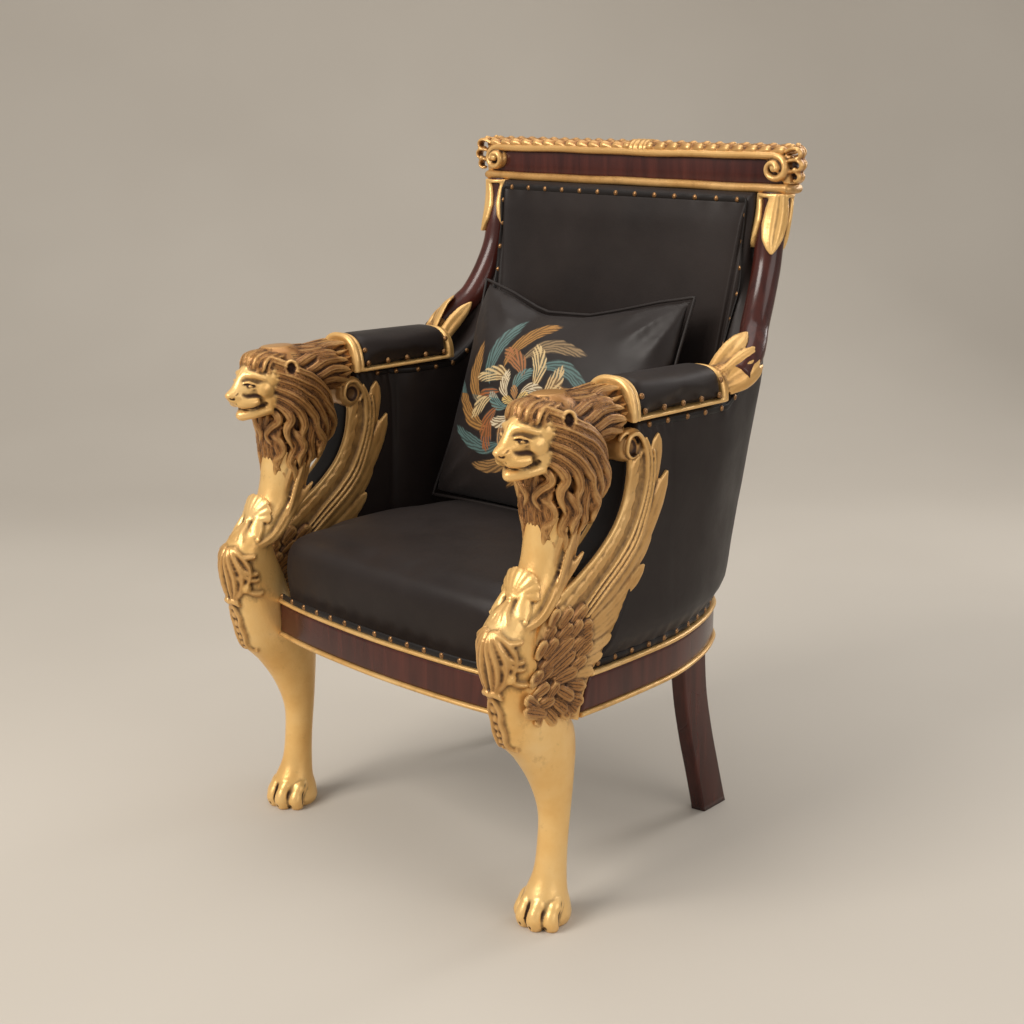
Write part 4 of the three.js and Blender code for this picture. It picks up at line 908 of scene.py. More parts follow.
def feather(clay, root, tip, half, face, outward, lift, bow=0.0, tone=0.9, rise=2.4, thick=3.4, blunt=0.62, rib=0.45):
    root, tip = np.array(root, float), np.array(tip, float)
    d = tip - root
    side = np.array([d[1], -d[0]]) / np.linalg.norm(d)
    stations = max(12, int(np.linalg.norm(d) / 2.6))
    t = np.linspace(0, 1, stations) ** 0.9
    mid = root + t[:, None] * d + side * (bow * np.sin(math.pi * t))[:, None]
    width = half * ramp(t, [(0, 0.5), (0.25, 0.86), (0.6, 1.0), (0.82, 0.96), (0.93, blunt), (1, 0.1)])
    path = np.stack([face + outward * (lift + rise * t), mid[:, 0], mid[:, 1]], -1)
    a = np.linspace(0, TAU, 26, endpoint=False)
    cu, su = np.cos(a), np.sin(a)
    top = np.where(su > 0, np.abs(su) ** 0.7 * (1 - rib * np.exp(-(cu / 0.16) ** 2)), su * 0.9)
    along = unit(np.gradient(path, axis=0))
    out = np.array([outward, 0.0, 0.0])
    across = unit(np.cross(along, out))
    clay.loft(path[:, None] + across[:, None] * (width[:, None, None] * cu[None, :, None]) + out * (thick * top)[None, :, None], tone, across=cu * 0.8)


def wing(clay, face, outward):
    # Bed under the feathers.
    lead, trail = spline(LEAD, 50), spline(TRAIL, 50)
    rings = []
    for (ay, az), (by, bz) in zip(lead, trail):
        rings.append([(face - outward * 4, ay, az), (face + outward * 1.6, ay + 1, az + 0.5), (face + outward * 2.4, (ay + by) / 2, (az + bz) / 2),
                      (face + outward * 1.6, by - 4, bz - 1), (face - outward * 4, by - 4, bz - 1)])
    clay.loft(rings, 0.9)
    for root, tip, half, bow, lift in PRIMARIES:
        feather(clay, root, tip, half, face, outward, lift - 1.0, bow, 0.55, 1.2, 4.2, 0.7, 0.3)
    for a in BAND:
        feather(clay, a[:2], a[2:], 7.5, face, outward, -0.2, -3, 0.5, 2.0, 3.4, 0.4, 0.3)
    for path in RIDGES:
        p = spline(path, 70)
        x = face + outward * (3.4 + 2.6 * np.clip((p[:, 1] - 670) / 40, 0, 1))
        clay.sweep(np.stack([x, p[:, 0], p[:, 1]], -1), 3.9 * ramp(np.linspace(0, 1, 70), [(0, 0.5), (0.2, 1), (0.8, 0.9), (1, 0.4)]), [4.2] * 70, (outward, 0, 0), 0.45, 16)
    for k, (y0, z0, y1, z1) in enumerate(COVERTS):
        length = math.hypot(y1 - y0, z1 - z0)
        feather(clay, (y0, z0), (y1, z1), 6.2 + 0.10 * length, face, outward, 1.6 + 0.9 * (k % 3), 0, 1.0, 2.8, 3.6, 0.75, 0.42)


def support_wing():
    clay = Clay()
    # Slab as a ladder of sections between its front and back edges, with rounded arrises.
    rings = []
    for (fy, fz), (by, bz) in zip(spline(SLAB_FRONT, 44), spline(SLAB_BACK, 44)[::-1]):
        rings.append([(IN, fy + 2, fz), (IN + 2, fy, fz), (OUT - 2, fy, fz), (OUT, fy + 2, fz), (OUT, by - 2, bz), (OUT - 2, by, bz), (IN + 2, by, bz), (IN, by - 2, bz)])
    clay.loft(rings, 0.3)
    # Beads along both arrises of its front.
    edge = spline(SLAB_FRONT, 120)
    edge = edge[edge[:, 1] > 512]
    for x in (IN + 2, OUT - 2):
        clay.sweep(np.stack([np.full(len(edge), float(x)), edge[:, 0], edge[:, 1]], -1), [4.2] * len(edge), [4.2] * len(edge), (1, 0, 0), 0.25, 16, 0, 0, 1.0)
    y, z, r = VOLUTE
    a = np.linspace(0, TAU, 48, endpoint=False)
    rows = [(IN - 7, r * 0.45), (IN - 6, r * 0.85), (IN - 2, r * 1.05), (IN + 8, r * 1.1), (6, r * 1.0), (16, r * 1.04), (24, r * 1.02), (30, r * 0.9), (33, r * 0.78), (35, r * 0.4)]
    clay.loft([[(x, y + q * math.cos(t), z + q * math.sin(t)) for t in a] for x, q in rows], 0.75)
    # A leafy lip rolling over the top of the volute and down into the wing.
    t = np.linspace(0, 1, 40)
    for x in (IN + 1, OUT - 4):
        bend = np.radians(150 - 190 * t)
        path = np.stack([np.full(40, float(x)), y + (r + 3.5) * np.cos(bend), z + (r + 3.5) * np.sin(bend)], -1)
        clay.sweep(path, ramp(t, [(0, 3), (0.3, 8), (1, 8)]), ramp(t, [(0, 3), (0.4, 5.5), (1, 5)]), np.stack([0 * t, np.cos(bend), np.sin(bend)], -1), 0.5, 24, 2, 0.3)
    wing(clay, OUT, 1)
    wing(clay, IN, -1)
    v, f, tone, across = fuse(clay, WING_VOXEL)
    v = relax(v, f, 1, 0.35)
    n = normals(v, f)
    dark = np.zeros(len(v))
    # Eyes of the volute pressed in, with a ring of painted shade round each.
    for x, sign in ((36, 1), (IN - 8, -1)):
        hole = np.linalg.norm((v - [x, y + 1, z - 1]) * [0.5, 1, 1], axis=1)
        bell = np.exp(-(hole / 10.5) ** 4)
        v = v - np.array([sign, 0, 0]) * (bell * 4.0)[:, None]
        dark = np.maximum(dark, np.exp(-((hole - 11) / 2.0) ** 2) * 1.1)
    return v, f, tone, across, dark


HEAD_VOXEL, BODY_VOXEL, WING_VOXEL = 1.65, 1.9, 1.75


def add_supports():
    for name, build, voxel, keep, nodes in (
        ("lion_head", lion_head, HEAD_VOXEL, 0.60, False),
        ("lion_body", support_body, BODY_VOXEL, 0.50, True),
        ("lion_wing", support_wing, WING_VOXEL, 0.50, False),
    ):
        v, f, tone, across, dark = build()
        # cut: groove depth plus the painted shade lines; the gilding turns it into painted shade in the hollows and a
        # painted highlight on the ridges.
        cut = np.clip(hollows(v, f, voxel) * 0.55 + dark, -1, 1.6)
        fur = averaged((tone > 0.85).astype(float), neighbours(f, len(v)))
        for _ in range(3):
            tone = averaged(tone, neighbours(f, len(v)))
        v, f, values = thin(v, f, keep, age=tone, cut=cut, across=across, fur=fur)
        for side, word in ((1, "right"), (-1, "left")):
            pos = (v + [SUPPORT_X, 0, 0]) * [side, 1, 1]
            faces = f if side > 0 else f[:, ::-1]
            ob = make_piece(f"{name}_{word}", pos, faces, [f"lion_support_{word}"] if nodes else (), values)
            ob.data.materials.append(GOLD)


# ------------------------------------------------------------------ rails, legs and posts
RAIL_PLAN = [(331, 30), (332, 110), (330, 200), (325, 268), (313, 326), (293, 388), (268, 440), (246, 472), (212, 498), (150, 513), (0, 521)]
FRONT_PLAN = [(-264, -27), (-190, -38), (-100, -45), (0, -48), (100, -45), (190, -38), (264, -27)]
RAIL = [(-30, 329), (-1, 329), (1, 329.8), (1.6, 332), (1.6, 373), (1, 377.6), (-1, 378.8), (-30, 378.8)]
LOW_BEAD = [(-3, 321.6), (1.5, 321.6), (4.3, 322.4), (5.9, 324.2), (6.1, 326.4), (4.6, 328), (1.5, 328.9), (-3, 328.9)]
HIGH_BEAD = [(-8, 379.1), (1, 379.1), (4, 379.8), (5.4, 381.6), (5.4, 383.6), (4, 385.4), (1, 386.2), (-8, 386.2)]


def back_edge(z):
    """Depth of the winged slab's back edge at a height."""
    line = spline(SLAB_BACK, 200)
    line = line[np.argsort(line[:, 1])]
    return np.interp(z, line[:, 1], line[:, 0]) + 0.6


def side_plan(count=90):
    half = spline(RAIL_PLAN, count)
    return np.vstack([half, half[-2::-1] * [-1, 1]])


def plan_out(run):
    d = np.gradient(run, axis=0)
    return unit(np.stack([d[:, 1], -d[:, 0]], -1))


def moulding(run, section, front=False):
    """Loft of an (outward, height) section along a plan line; side pieces start at the slab's back edge."""
    run = np.asarray(run, float)
    out = plan_out(run)
    rings = []
    for p, o in zip(run, out):
        ring = []
        for d, z in section:
            x, y = p + o * d
            if not front and y < 110:
                start = back_edge(z)
                y = start + (y - 30) * (110 - start) / 80
            ring.append((x, y, z))
        rings.append(ring)
    return rings


def corner_box(a, b, r, steps=5):
    """Rounded rectangle of half sizes a, b."""
    out = []
    for cx, cy, t0 in ((a - r, b - r, 0), (r - a, b - r, 90), (r - a, r - b, 180), (a - r, r - b, 270)):
        for k in range(steps + 1):
            t = math.radians(t0 + 90 * k / steps)
            out.append((cx + r * math.cos(t), cy + r * math.sin(t)))
    return np.array(out)


REAR_LEG = [[0, 229, 503, 13, 33], [80, 228, 480, 13, 32], [150, 227, 460, 13, 32], [230, 226, 443, 13, 32], [330, 225, 434, 13.5, 33]]
POST = [(334, 396, 776), (330, 430, 802), (320, 453, 822), (310, 471, 842), (302, 495, 882), (297, 514, 927), (296, 522, 970), (297, 530, 1010), (298, 533, 1042)]
MIRROR = np.array([-1.0, 1.0, 1.0])


def pair(name, clay, nodes, material, smooth=True):
    v, t, tone, across = clay.arrays()
    for side, word in ((1, "right"), (-1, "left")):
        ob = make_piece(f"{name}_{word}", v * [side, 1, 1], t if side > 0 else t[:, ::-1], [f"{k}_{word}" for k in nodes], {"age": tone})
        ob.data.materials.append(material)


def single(name, clay, nodes, material):
    v, t, tone, across = clay.arrays()
    ob = make_piece(name, v, t, nodes, {"age": tone})
    ob.data.materials.append(material)
    return ob


def add_frame_woodwork():
    for name, section, slot, material in (("rail", RAIL, "mahogany", WOOD), ("bead_low", LOW_BEAD, "gilding", GOLD), ("bead_high", HIGH_BEAD, "gilding", GOLD)):
        clay = Clay()
        clay.loft(moulding(side_plan(), section), 0.25)
        single(f"side_{name}_fine", clay, [f"side_{name}"], material)
        clay = Clay()
        clay.loft(moulding(spline(FRONT_PLAN, 60), section, True), 0.25)
        single(f"front_{name}_fine", clay, [f"front_{name}"], material)
    clay = Clay()
    rings = []
    for z, (xc, yc, a, b) in ((z, table(REAR_LEG, [z])[0]) for z in np.linspace(0, 330, 30)):
        p = corner_box(a, b, 4 if z > 3 else 2.5)
        rings.append(np.stack([xc + p[:, 0] * math.cos(0.16) - p[:, 1] * math.sin(0.16) * 0.3, yc + p[:, 1] * math.cos(0.16) + p[:, 0] * math.sin(0.16), p[:, 0] * 0 + z], -1))
    clay.loft(rings)
    pair("rear_leg_fine", clay, ["rear_leg"], WOOD)
    clay = Clay()
    path = spline(POST, 70)
    clay.sweep(path, [22.3] * 70, [22.3] * 70, (0.2, 1, -0.1), 0, 32, 0, 0, 1.0)
    pair("post_fine", clay, ["back_post"], WOOD)
    # Facing let on to the front of each slab: a softly crowned strip.
    clay = Clay()
    edge = spline(SLAB_FRONT, 160)
    edge = edge[(edge[:, 1] > 532) & (edge[:, 1] < 688)]
    d = unit(np.gradient(edge, axis=0))
    nor = np.stack([-d[:, 1], d[:, 0]], -1)
    rings = []
    for (y, z), (ny, nz) in zip(edge, nor):
        across = np.linspace(-19, 19, 13)
        lift = 1.0 + 2.6 * np.sqrt(np.maximum(0, 1 - (across / 19) ** 4))
        top = [(SUPPORT_X + 10.5 + a, y + ny * h, z + nz * h) for a, h in zip(across, lift)]
        rings.append(top + [(SUPPORT_X + 29.5, y - ny, z - nz), (SUPPORT_X - 8.5, y - ny, z - nz)])
    clay.loft(rings)
    pair("facing_fine", clay, ["support_facing"], TRIM)


# ------------------------------------------------------------------ arms: gilding and leaves
def arch(count, half, high, power=0.78):
    t = np.linspace(0, math.pi, count)
    c, s = np.cos(t), np.sin(t)
    return np.stack([half * np.sign(c) * np.abs(c) ** power, high * np.abs(s) ** power], -1)


def carved(name, clay, voxel, keep, nodes, mirrored, relaxing=0.4):
    """Fuses, thins and adds a gilded carving, as a mirrored pair if asked."""
    v, f, tone, across = fuse(clay, voxel)
    v = relax(v, f, 2 if mirrored else 1, relaxing)
    # cut: groove depth, which the gilding turns into painted shade in the hollows and a painted highlight on the
    # ridges.
    cut = np.clip(hollows(v, f, voxel) * 0.6, -1, 1.5)
    v, f, values = thin(v, f, keep, age=tone, cut=cut)
    for side, word in ((1, "_right"), (-1, "_left")) if mirrored else ((1, ""),):
        ob = make_piece(name + word, v * [side, 1, 1], f if side > 0 else f[:, ::-1], [k + word for k in nodes], values)
        ob.data.materials.append(GOLD)


def add_arm_gilding():
    clay = Clay()
    # Board: a flat strip with rounded edges.
    ring = corner_box(46.8, 2.9, 2.7)
    clay.loft([[(SUPPORT_X - 1 + x, y, 744.4 + z) for x, z in ring] for y in np.linspace(156, 354, 60)], 0.3)
    # Front collar: a plate with two rolled hoops, then the thinner rear collar.
    for y0, y1, half, high in ((139, 158, 42.5, 55), (352, 368, 40, 48)):
        outline = arch(40, half, high)
        clay.loft([[(SUPPORT_X + a, y, 743 + b) for a, b in outline] for y in (y0, (y0 + y1) / 2, y1)], 0.5)
    for y, half, high, r in ((143.5, 44.0, 57.5, 5.6), (153.5, 43.5, 56.5, 4.4), (356, 42.0, 49, 4.6), (364, 40.5, 47, 4.2)):
        p = arch(70, half, high)
        path = np.stack([SUPPORT_X + p[:, 0], np.full(70, float(y)), 742 + p[:, 1]], -1)
        clay.sweep(path, [r] * 70, [r * 1.05] * 70, (0, 1, 0), 0.3, 18, 0, 0, 1.0)
    for path, wide, thick, up in (  # the tall leaf in front of the post, the outer leaf, the small one between, the inner one
        ([(308, 362, 776), (316, 384, 800), (322, 408, 822), (323, 434, 838)], 17, 6, (0.45, -0.62, 0.64)),
        ([(330, 362, 764), (343, 384, 776), (350, 406, 789), (350, 430, 802)], 16.5, 6.5, (0.9, -0.3, 0.3)),
        ([(326, 366, 782), (336, 392, 800), (343, 418, 812), (344, 440, 816)], 9, 5, (0.75, -0.5, 0.45)),
        ([(286, 362, 762), (294, 390, 784), (296, 420, 806), (294, 450, 828)], 14, 6, (-0.8, -0.3, 0.5)),
        ([(338, 372, 756), (350, 396, 766), (353, 420, 778), (350, 440, 790)], 11, 5, (1, 0.1, -0.1)),
    ):
        t = np.linspace(0, 1, 34)
        clay.sweep(spline(path, 34), wide * ramp(t, [(0, 0.62), (0.3, 0.95), (0.55, 1), (0.8, 0.78), (0.93, 0.42), (1, 0.12)]), thick * ramp(t, [(0, 1), (0.8, 0.8), (1, 0.4)]), up, 0.4, 30, 2, 0.3)
    clay.sweep(spline([(314, 358, 764), (322, 388, 778), (330, 412, 788)], 14), np.linspace(24, 18, 14), np.linspace(21, 17, 14), (1, 0, 0), 0.9, 24, 0, 0, 1.0)
    carved("arm_trim", clay, 1.7, 0.42, ["arm_gilding"], True)


def add_post_leaves():
    clay = Clay()
    centre = spline(POST, 200)
    at = lambda z: np.stack([np.interp(z, centre[:, 2], centre[:, 0]), np.interp(z, centre[:, 2], centre[:, 1])], -1)
    for angle, length, wide in ((-0.80, 92, 0.92), (-0.80 - 2.0, 84, 0.86), (-0.80 + 2.1, 88, 0.9)):
        t = np.linspace(0, 1, 36)
        half = wide * ramp(t, [(0, 0.62), (0.25, 0.9), (0.5, 1), (0.75, 0.76), (0.92, 0.34), (1, 0.06)])
        rings = []
        for tk, hk in zip(t, half):
            z = 1042 - length * tk
            x, y = at(z)
            u = np.linspace(-1, 1, 21)
            lift = 24.5 + 3 * tk ** 2 + (6.0 - 2 * tk) * np.sqrt(np.maximum(0, 1 - u ** 2)) * (1 - 0.5 * np.exp(-(u / 0.13) ** 2))
            lift -= 1.2 * np.exp(-((np.abs(u) - 0.55) / 0.1) ** 2)
            outer = [(x + r * math.cos(angle + hk * k), y + r * math.sin(angle + hk * k), z) for k, r in zip(u, lift)]
            inner = [(x + 21.5 * math.cos(angle + hk * k), y + 21.5 * math.sin(angle + hk * k), z) for k in u[::-1]]
            rings.append(outer + inner)
        clay.loft(rings, 0.15)
    x, y = at(1040)
    for z, r in ((1038.5, 25.5),):
        path = [(x + r * math.cos(a), y + r * math.sin(a), z) for a in np.linspace(0, TAU, 41)]
        clay.sweep(path, [3.4] * 41, [3.4] * 41, (0, 0, 1), 0.4, 12, 0, 0, 1.0)
    carved("post_leaf", clay, 1.5, 0.45, ["post_leaves"], True)


# ------------------------------------------------------------------ crest
def wander(x, seed):
    """Slight unevenness of hand work along the crest."""
    return 0.9 * np.sin(x / 61 + seed) + 0.6 * np.sin(x / 23 + 2.1 * seed)


BAR_HALF, SCROLL_X, SCROLL_Z, RIBBON_X = 326, 301, 1078.5, 26


def add_crest():
    x = np.linspace(-1, 1, 150)
    # Lower moulding: a rounded bar with blunt ends that swell a little.
    clay = Clay()
    ring = corner_box(22, 6.8, 6.4, 7)
    rows = []
    for u in x:
        swell = 1 + 0.16 * max(0, (abs(u) - 0.9) / 0.1) - 0.34 * max(0, (abs(u) - 0.986) / 0.014) ** 2
        rows.append([(u * BAR_HALF, 539 + a, 1048.6 + b * swell + 0.5 * wander(u * BAR_HALF, 1)) for a, b in ring])
    clay.loft(rows, 0.6)
    single("crest_bar_low", clay, ["crest_lower_moulding"], GOLD)
    clay = Clay()
    ring = corner_box(17, 20, 1.2, 2)
    clay.loft([[(u * 312, 544 + a, 1073 + b) for a, b in ring] for u in x], 0)
    single("crest_panel_fine", clay, ["crest_panel"], WOOD)
    # Upper moulding: a rounded bar rolling into a spiral scroll at each end.
    clay = Clay()
    front = corner_box(9, 6.1, 5.9, 7)
    clay.loft([[(u * SCROLL_X, 525.5 + a, 1097.6 + b + 0.7 * wander(u * SCROLL_X, 4)) for a, b in front] for u in x], 0.6)
    body = corner_box(18, 5.6, 2, 3)
    clay.loft([[(u * SCROLL_X, 543 + a, 1097.6 + b) for a, b in body] for u in x], 0.4)
    half = Clay()
    t = np.linspace(0, 1, 90)
    angle = math.pi / 2 - t * TAU * 1.32
    r = 19.1 * (1 - t) ** 0.9 + 4.6 * t
    path = np.stack([SCROLL_X + 1.12 * r * np.cos(angle), 524.5 - 7 * t, SCROLL_Z + r * np.sin(angle)], -1)
    half.sweep(path, ramp(t, [(0, 6.1), (0.35, 5.4), (1, 4.4)]), ramp(t, [(0, 8.6), (1, 10)]), (0, -1, 0), 0.6, 20, 0, 0, 1.0)
    half.ball((SCROLL_X + 1, 516, SCROLL_Z + 1), (6.2, 6, 5.8), 0.2, 18)
    core = [(SCROLL_X + 20.5 * math.cos(a), SCROLL_Z + 18.2 * math.sin(a)) for a in np.linspace(0, TAU, 40, endpoint=False)]
    half.loft([[(cx, y, cz) for cx, cz in core] for y in (523, 542, 561)], 0.7)
    half.loft([[(320 + a, 542 + b, z) for a, b in corner_box(7, 18, 4)] for z in (1056, 1070, 1085, 1099)], 0.9)
    # Foliage rolled over the end: three tiers of curled tongues and some berries.
    for y, z0, out, wide in ((526, 1103, 345, 9), (543, 1105, 336, 9), (526, 1086, 348, 9.5), (543, 1087, 338, 9.5), (527, 1069, 344, 8.5), (543, 1068, 335, 9)):
        p = [(316, y, z0 + 1), (328, y - 1, z0 + 6), (out - 6, y - 1, z0 + 6.5), (out, y, z0 + 1), (out - 0.5, y, z0 - 5), (out - 6, y, z0 - 8.5), (out - 11, y, z0 - 6)]
        t = np.linspace(0, 1, 30)
        half.sweep(spline(p, 30), wide * ramp(t, [(0, 0.6), (0.4, 1), (0.8, 0.92), (1, 0.5)]), ramp(t, [(0, 3.5), (0.5, 4.4), (1, 2.6)]),
                   np.stack([np.sin(2.6 * t - 0.3), 0 * t, np.cos(2.6 * t - 0.3)], -1), 1.0, 26, 2, 0.35, 0.8)
    for p, r in (((333, 534, 1112), 4.5), ((329, 526, 1113), 4.2), ((341, 520, 1094), 4.4), ((338, 520, 1078), 4.2), ((338, 536, 1077), 5), ((325, 546, 1114), 4.6)):
        half.ball(p, (r, r, r), 1.0, 14)
    clay.both_sides(half)
    carved("crest_bar_high", clay, 1.7, 0.42, ["crest_upper_moulding"], False)
    # Laurel roll: plump leaves laid like shingles, tips outward, from a tied ribbon.
    clay = Clay()
    core = corner_box(12, 4, 3, 4)
    clay.loft([[(u * 318, 541 + a, 1105.5 + b) for a, b in core] for u in x], 1.0)
    rng = np.random.default_rng(4)
    for way in (1, -1):
        for k in range(28):
            x0 = RIBBON_X + way * (10 + k * 13.0)
            if abs(x0) > 300:
                break
            rows = ((531.5, 1106.5, (0, -0.75, 0.66)), (550.5, 1106.5, (0, 0.75, 0.66))) if k % 2 else ((541, 1109.5, (0, 0, 1)), (524.5, 1104.5, (0, -1, 0.25)), (557.5, 1104.5, (0, 1, 0.25)))
            for y0, z0, up in rows:
                j = rng.uniform(-1, 1, 3)
                p = [(x0 - 5 * way, y0, z0 - 2.5), (x0 + 4 * way, y0 + 0.5 * j[0], z0 - 0.2), (x0 + 13 * way, y0 + j[1], z0 + 2.0), (x0 + (20.5 + j[0]) * way, y0 + j[1], z0 + 1.6)]
                t = np.linspace(0, 1, 16)
                clay.sweep(spline(p, 16), (7.8 + 0.5 * j[2]) * ramp(t, [(0, 0.5), (0.4, 0.98), (0.75, 1), (0.93, 0.66), (1, 0.22)]), 6.2 * ramp(t, [(0, 0.5), (0.7, 1), (0.94, 0.85), (1, 0.4)]), up, 1.0, 22, 1, 0.22)
    for x0, wide, lean in ((-13, 4.6, 2), (-5, 5.6, 1), (5, 5.6, -1), (13, 4.6, -2)):
        p = arch(30, 19.5, 12, 0.8)
        path = np.stack([RIBBON_X + x0 + lean * (p[:, 0] / 20), 541 + p[:, 0], 1099 + p[:, 1] * 1.25], -1)
        clay.sweep(path, [wide] * 30, [4.4] * 30, np.stack([p[:, 0] * 0, p[:, 0], p[:, 1] + 4], -1), 0.6, 18, 1, 0.25)
    carved("laurel_roll", clay, 1.7, 0.6, ["crest_laurel"], False, 0.3)


# ------------------------------------------------------------------ upholstery
SHELL = [
    [331, 44, 330, 44, 286.5, 44, 286.5, 44, 740.4], [331, 120, 330, 120, 286.5, 120, 286.5, 120, 740.4], [331, 200, 330, 200, 286.5, 200, 286.5, 200, 740.4],
    [329, 238, 331, 242, 286.5, 232, 286, 236, 740.4], [324, 270, 333, 285, 278, 262, 268, 272, 740.4],
    [316, 312, 333, 345, 272, 300, 264, 325, 740.4], [303, 356, 330, 384, 262, 338, 264, 378, 744],
    [287, 400, 318, 440, 246, 368, 266, 436, 784], [268, 436, 300, 512, 228, 394, 266, 486, 880], [258, 452, 267, 537, 216, 404, 265, 498, 955],
    [246, 468, 266, 556, 204, 414, 265, 506, 1041.6], [212, 496, 230, 568, 168, 428, 226, 509, 1041.6],
    [150, 511, 160, 570, 116, 440, 156, 506, 1041.6], [0, 519, 0, 570, 0, 446, 0, 503, 1041.6],
]
OUTER_LEAN = [(0, 0), (0.09, 0.16), (0.4, 0.55), (0.75, 0.92), (1, 1)]


def tub_surface():
    """Outer and inner faces of the right half as grids of points: station by level."""
    rows = spline(np.array(SHELL, float), 110)
    rows[:, 8] = np.clip(rows[:, 8], 740.4, 1041.6)
    v = np.concatenate([np.linspace(0, 0.12, 12), np.linspace(0.14, 0.88, 26), np.linspace(0.9, 1, 8)])
    top = rows[:, 8][:, None]
    z = 386.6 + (top - 386.6) * v
    lean = ramp(v, OUTER_LEAN)
    outer = np.stack([rows[:, 0:1] + (rows[:, 2:3] - rows[:, 0:1]) * lean, rows[:, 1:2] + (rows[:, 3:4] - rows[:, 1:2]) * lean, z], -1)
    inner = np.stack([rows[:, 4:5] + (rows[:, 6:7] - rows[:, 4:5]) * v, rows[:, 5:6] + (rows[:, 7:8] - rows[:, 5:6]) * v, z], -1)
    out = plan_out(outer[:, 20, :2])[:, None]
    arc = np.concatenate([[0], np.cumsum(np.linalg.norm(np.diff(outer[:, 4, :2], axis=0), axis=1))])[:, None]
    drop = z - 386.6
    rise = top - z
    pucker = 1.1 * np.cos(TAU * arc / 39) * np.exp(-((drop - 13) / 14) ** 2) + 0.8 * np.cos(TAU * arc / 43) * np.exp(-((rise - 12) / 12) ** 2)
    low = ramp(drop, [(0, -2.5), (10, -2.5), (20, 1.5), (34, 7.5), (50, 10.5), (75, 10), (110, 7.5), (170, 5), (260, 4), (660, 5)])
    full = low * np.clip(rise / 30, 0, 1) ** 0.6
    outer[..., :2] += out * (full + pucker)[..., None]
    inside = 7.0 * np.clip(drop / 40, 0, 1) ** 0.6 * np.clip(rise / 45, 0, 1) ** 0.6
    inside = inside * (0.55 + 0.45 * np.clip((arc - 250) / 250, 0, 1)) + 0.8 * np.cos(TAU * arc / 40) * np.exp(-((rise - 14) / 12) ** 2)
    inner[..., :2] -= out * inside[..., None]
    # Soft top edges.
    for grid, sign in ((outer, -1), (inner, 1)):
        ease = np.clip(1 - rise / 9, 0, 1) ** 2 * 7 * sign
        grid[..., :2] += out * ease[..., None]
    for grid in (outer, inner):
        y = grid[..., 1]
        start = back_edge(np.minimum(grid[..., 2], 712)) + np.clip(grid[..., 2] - 712, 0, 30) * -0.4
        grid[..., 1] = np.where(y < 250, start + (y - 44) * (250 - start) / 206, y)
    return outer, inner


def add_tub():
    outer, inner = tub_surface()
    ring = np.concatenate([outer, inner[:, ::-1]], axis=1)
    left = ring[-2::-1] * MIRROR
    clay = Clay()
    clay.loft(np.concatenate([ring, left]))
    v, t, tone, across = clay.arrays()
    ob = make_piece("tub_leather", v, t, ["tub_upholstery"])
    ob.data.materials.append(LEATHER)
    return outer, inner


def stuff(v, f, cap, voxel, seam=None):
    """A closed form blown up as cloth from a slightly slack start, no point moving more than cap; then smoothed.

    Points near the seam, a line of points, hold still."""
    clay = Clay()
    clay.put(v, f)
    v0, f0, _, _ = fuse(clay, voxel)
    v0 = relax(v0, f0, 2, 0.5)
    v1 = v0
    scene = bpy.context.scene
    slack = v0 - normals(v0, f0) * (cap * 0.35)
    ob = bpy.data.objects.new("cloth", raw_mesh("cloth", place(slack), f0))
    scene.collection.objects.link(ob)
    mod = ob.modifiers.new("cloth", "CLOTH")
    st = mod.settings
    if seam is not None:
        group = ob.vertex_groups.new(name="seam")
        group.add([int(k) for k in np.flatnonzero(line_distance(v0, seam)[0] < voxel * 1.2)], 1.0, "REPLACE")
        st.vertex_group_mass = "seam"
    st.quality = 4
    st.mass = 0.3
    st.use_pressure = True
    st.uniform_pressure_force = 4
    st.effector_weights.gravity = 0
    st.tension_stiffness = st.compression_stiffness = 12
    st.shear_stiffness = 5
    st.bending_stiffness = 0.4
    mod.collision_settings.use_collision = False
    mod.point_cache.frame_end = 21
    for k in range(1, 21):
        scene.frame_set(k)
    v1, _ = evaluated(ob)
    v1 = v1 * 1000 - [0, SHIFT, 0]
    mesh = ob.data
    bpy.data.objects.remove(ob)
    bpy.data.meshes.remove(mesh)
    scene.frame_set(1)
    d = v1 - slack
    far = np.linalg.norm(d, axis=1, keepdims=True)
    v1 = slack + d * np.minimum(1, cap / np.maximum(far, 1e-6))
    v1 = relax(v1, f0, 2, 0.5)
    ob = bpy.data.objects.new("smooth", raw_mesh("smooth", v1, f0))
    bpy.context.scene.collection.objects.link(ob)
    ob.modifiers.new("smooth", "SUBSURF").levels = 1
    v2, f2 = evaluated(ob)
    mesh = ob.data
    bpy.data.objects.remove(ob)
    bpy.data.meshes.remove(mesh)
    return v2, f2


def seat_shape():
    half = spline([(0, -50), (90, -49), (170, -45), (228, -39), (256, -31), (263, -14), (264, 34), (272, 50), (282, 66), (284, 110), (282, 200), (264, 280), (238, 350), (190, 398), (120, 424), (0, 436)], 90)
    plan = np.vstack([half, half[-2:0:-1] * [-1, 1]])
    centre = np.array([0, 190.0])
    rings = []
    for z, inset, scale in [(372, 1.5, 1), (386, 1.2, 1), (396, 1.2, 1), (404, 0, 1), (430, -1.5, 1), (455, -1.0, 1), (470, 1, 1), (480, 5, 1), (488, 11, 1), (494, 19, 1), (498, 30, 1)]:
        p = centre + (plan - centre) * (1 - inset / 270)
        rings.append(np.concatenate([p, np.full((len(p), 1), z)], 1))
    for k in range(1, 10):
        q = k / 9.6
        p = centre + (plan - centre) * (1 - 30 / 270) * (1 - q)
        rings.append(np.concatenate([p, np.full((len(p), 1), 498 + 11 * (1 - (1 - q) ** 2))], 1))
    clay = Clay()
    clay.loft(rings)
    return clay.v[0], clay.t[0]


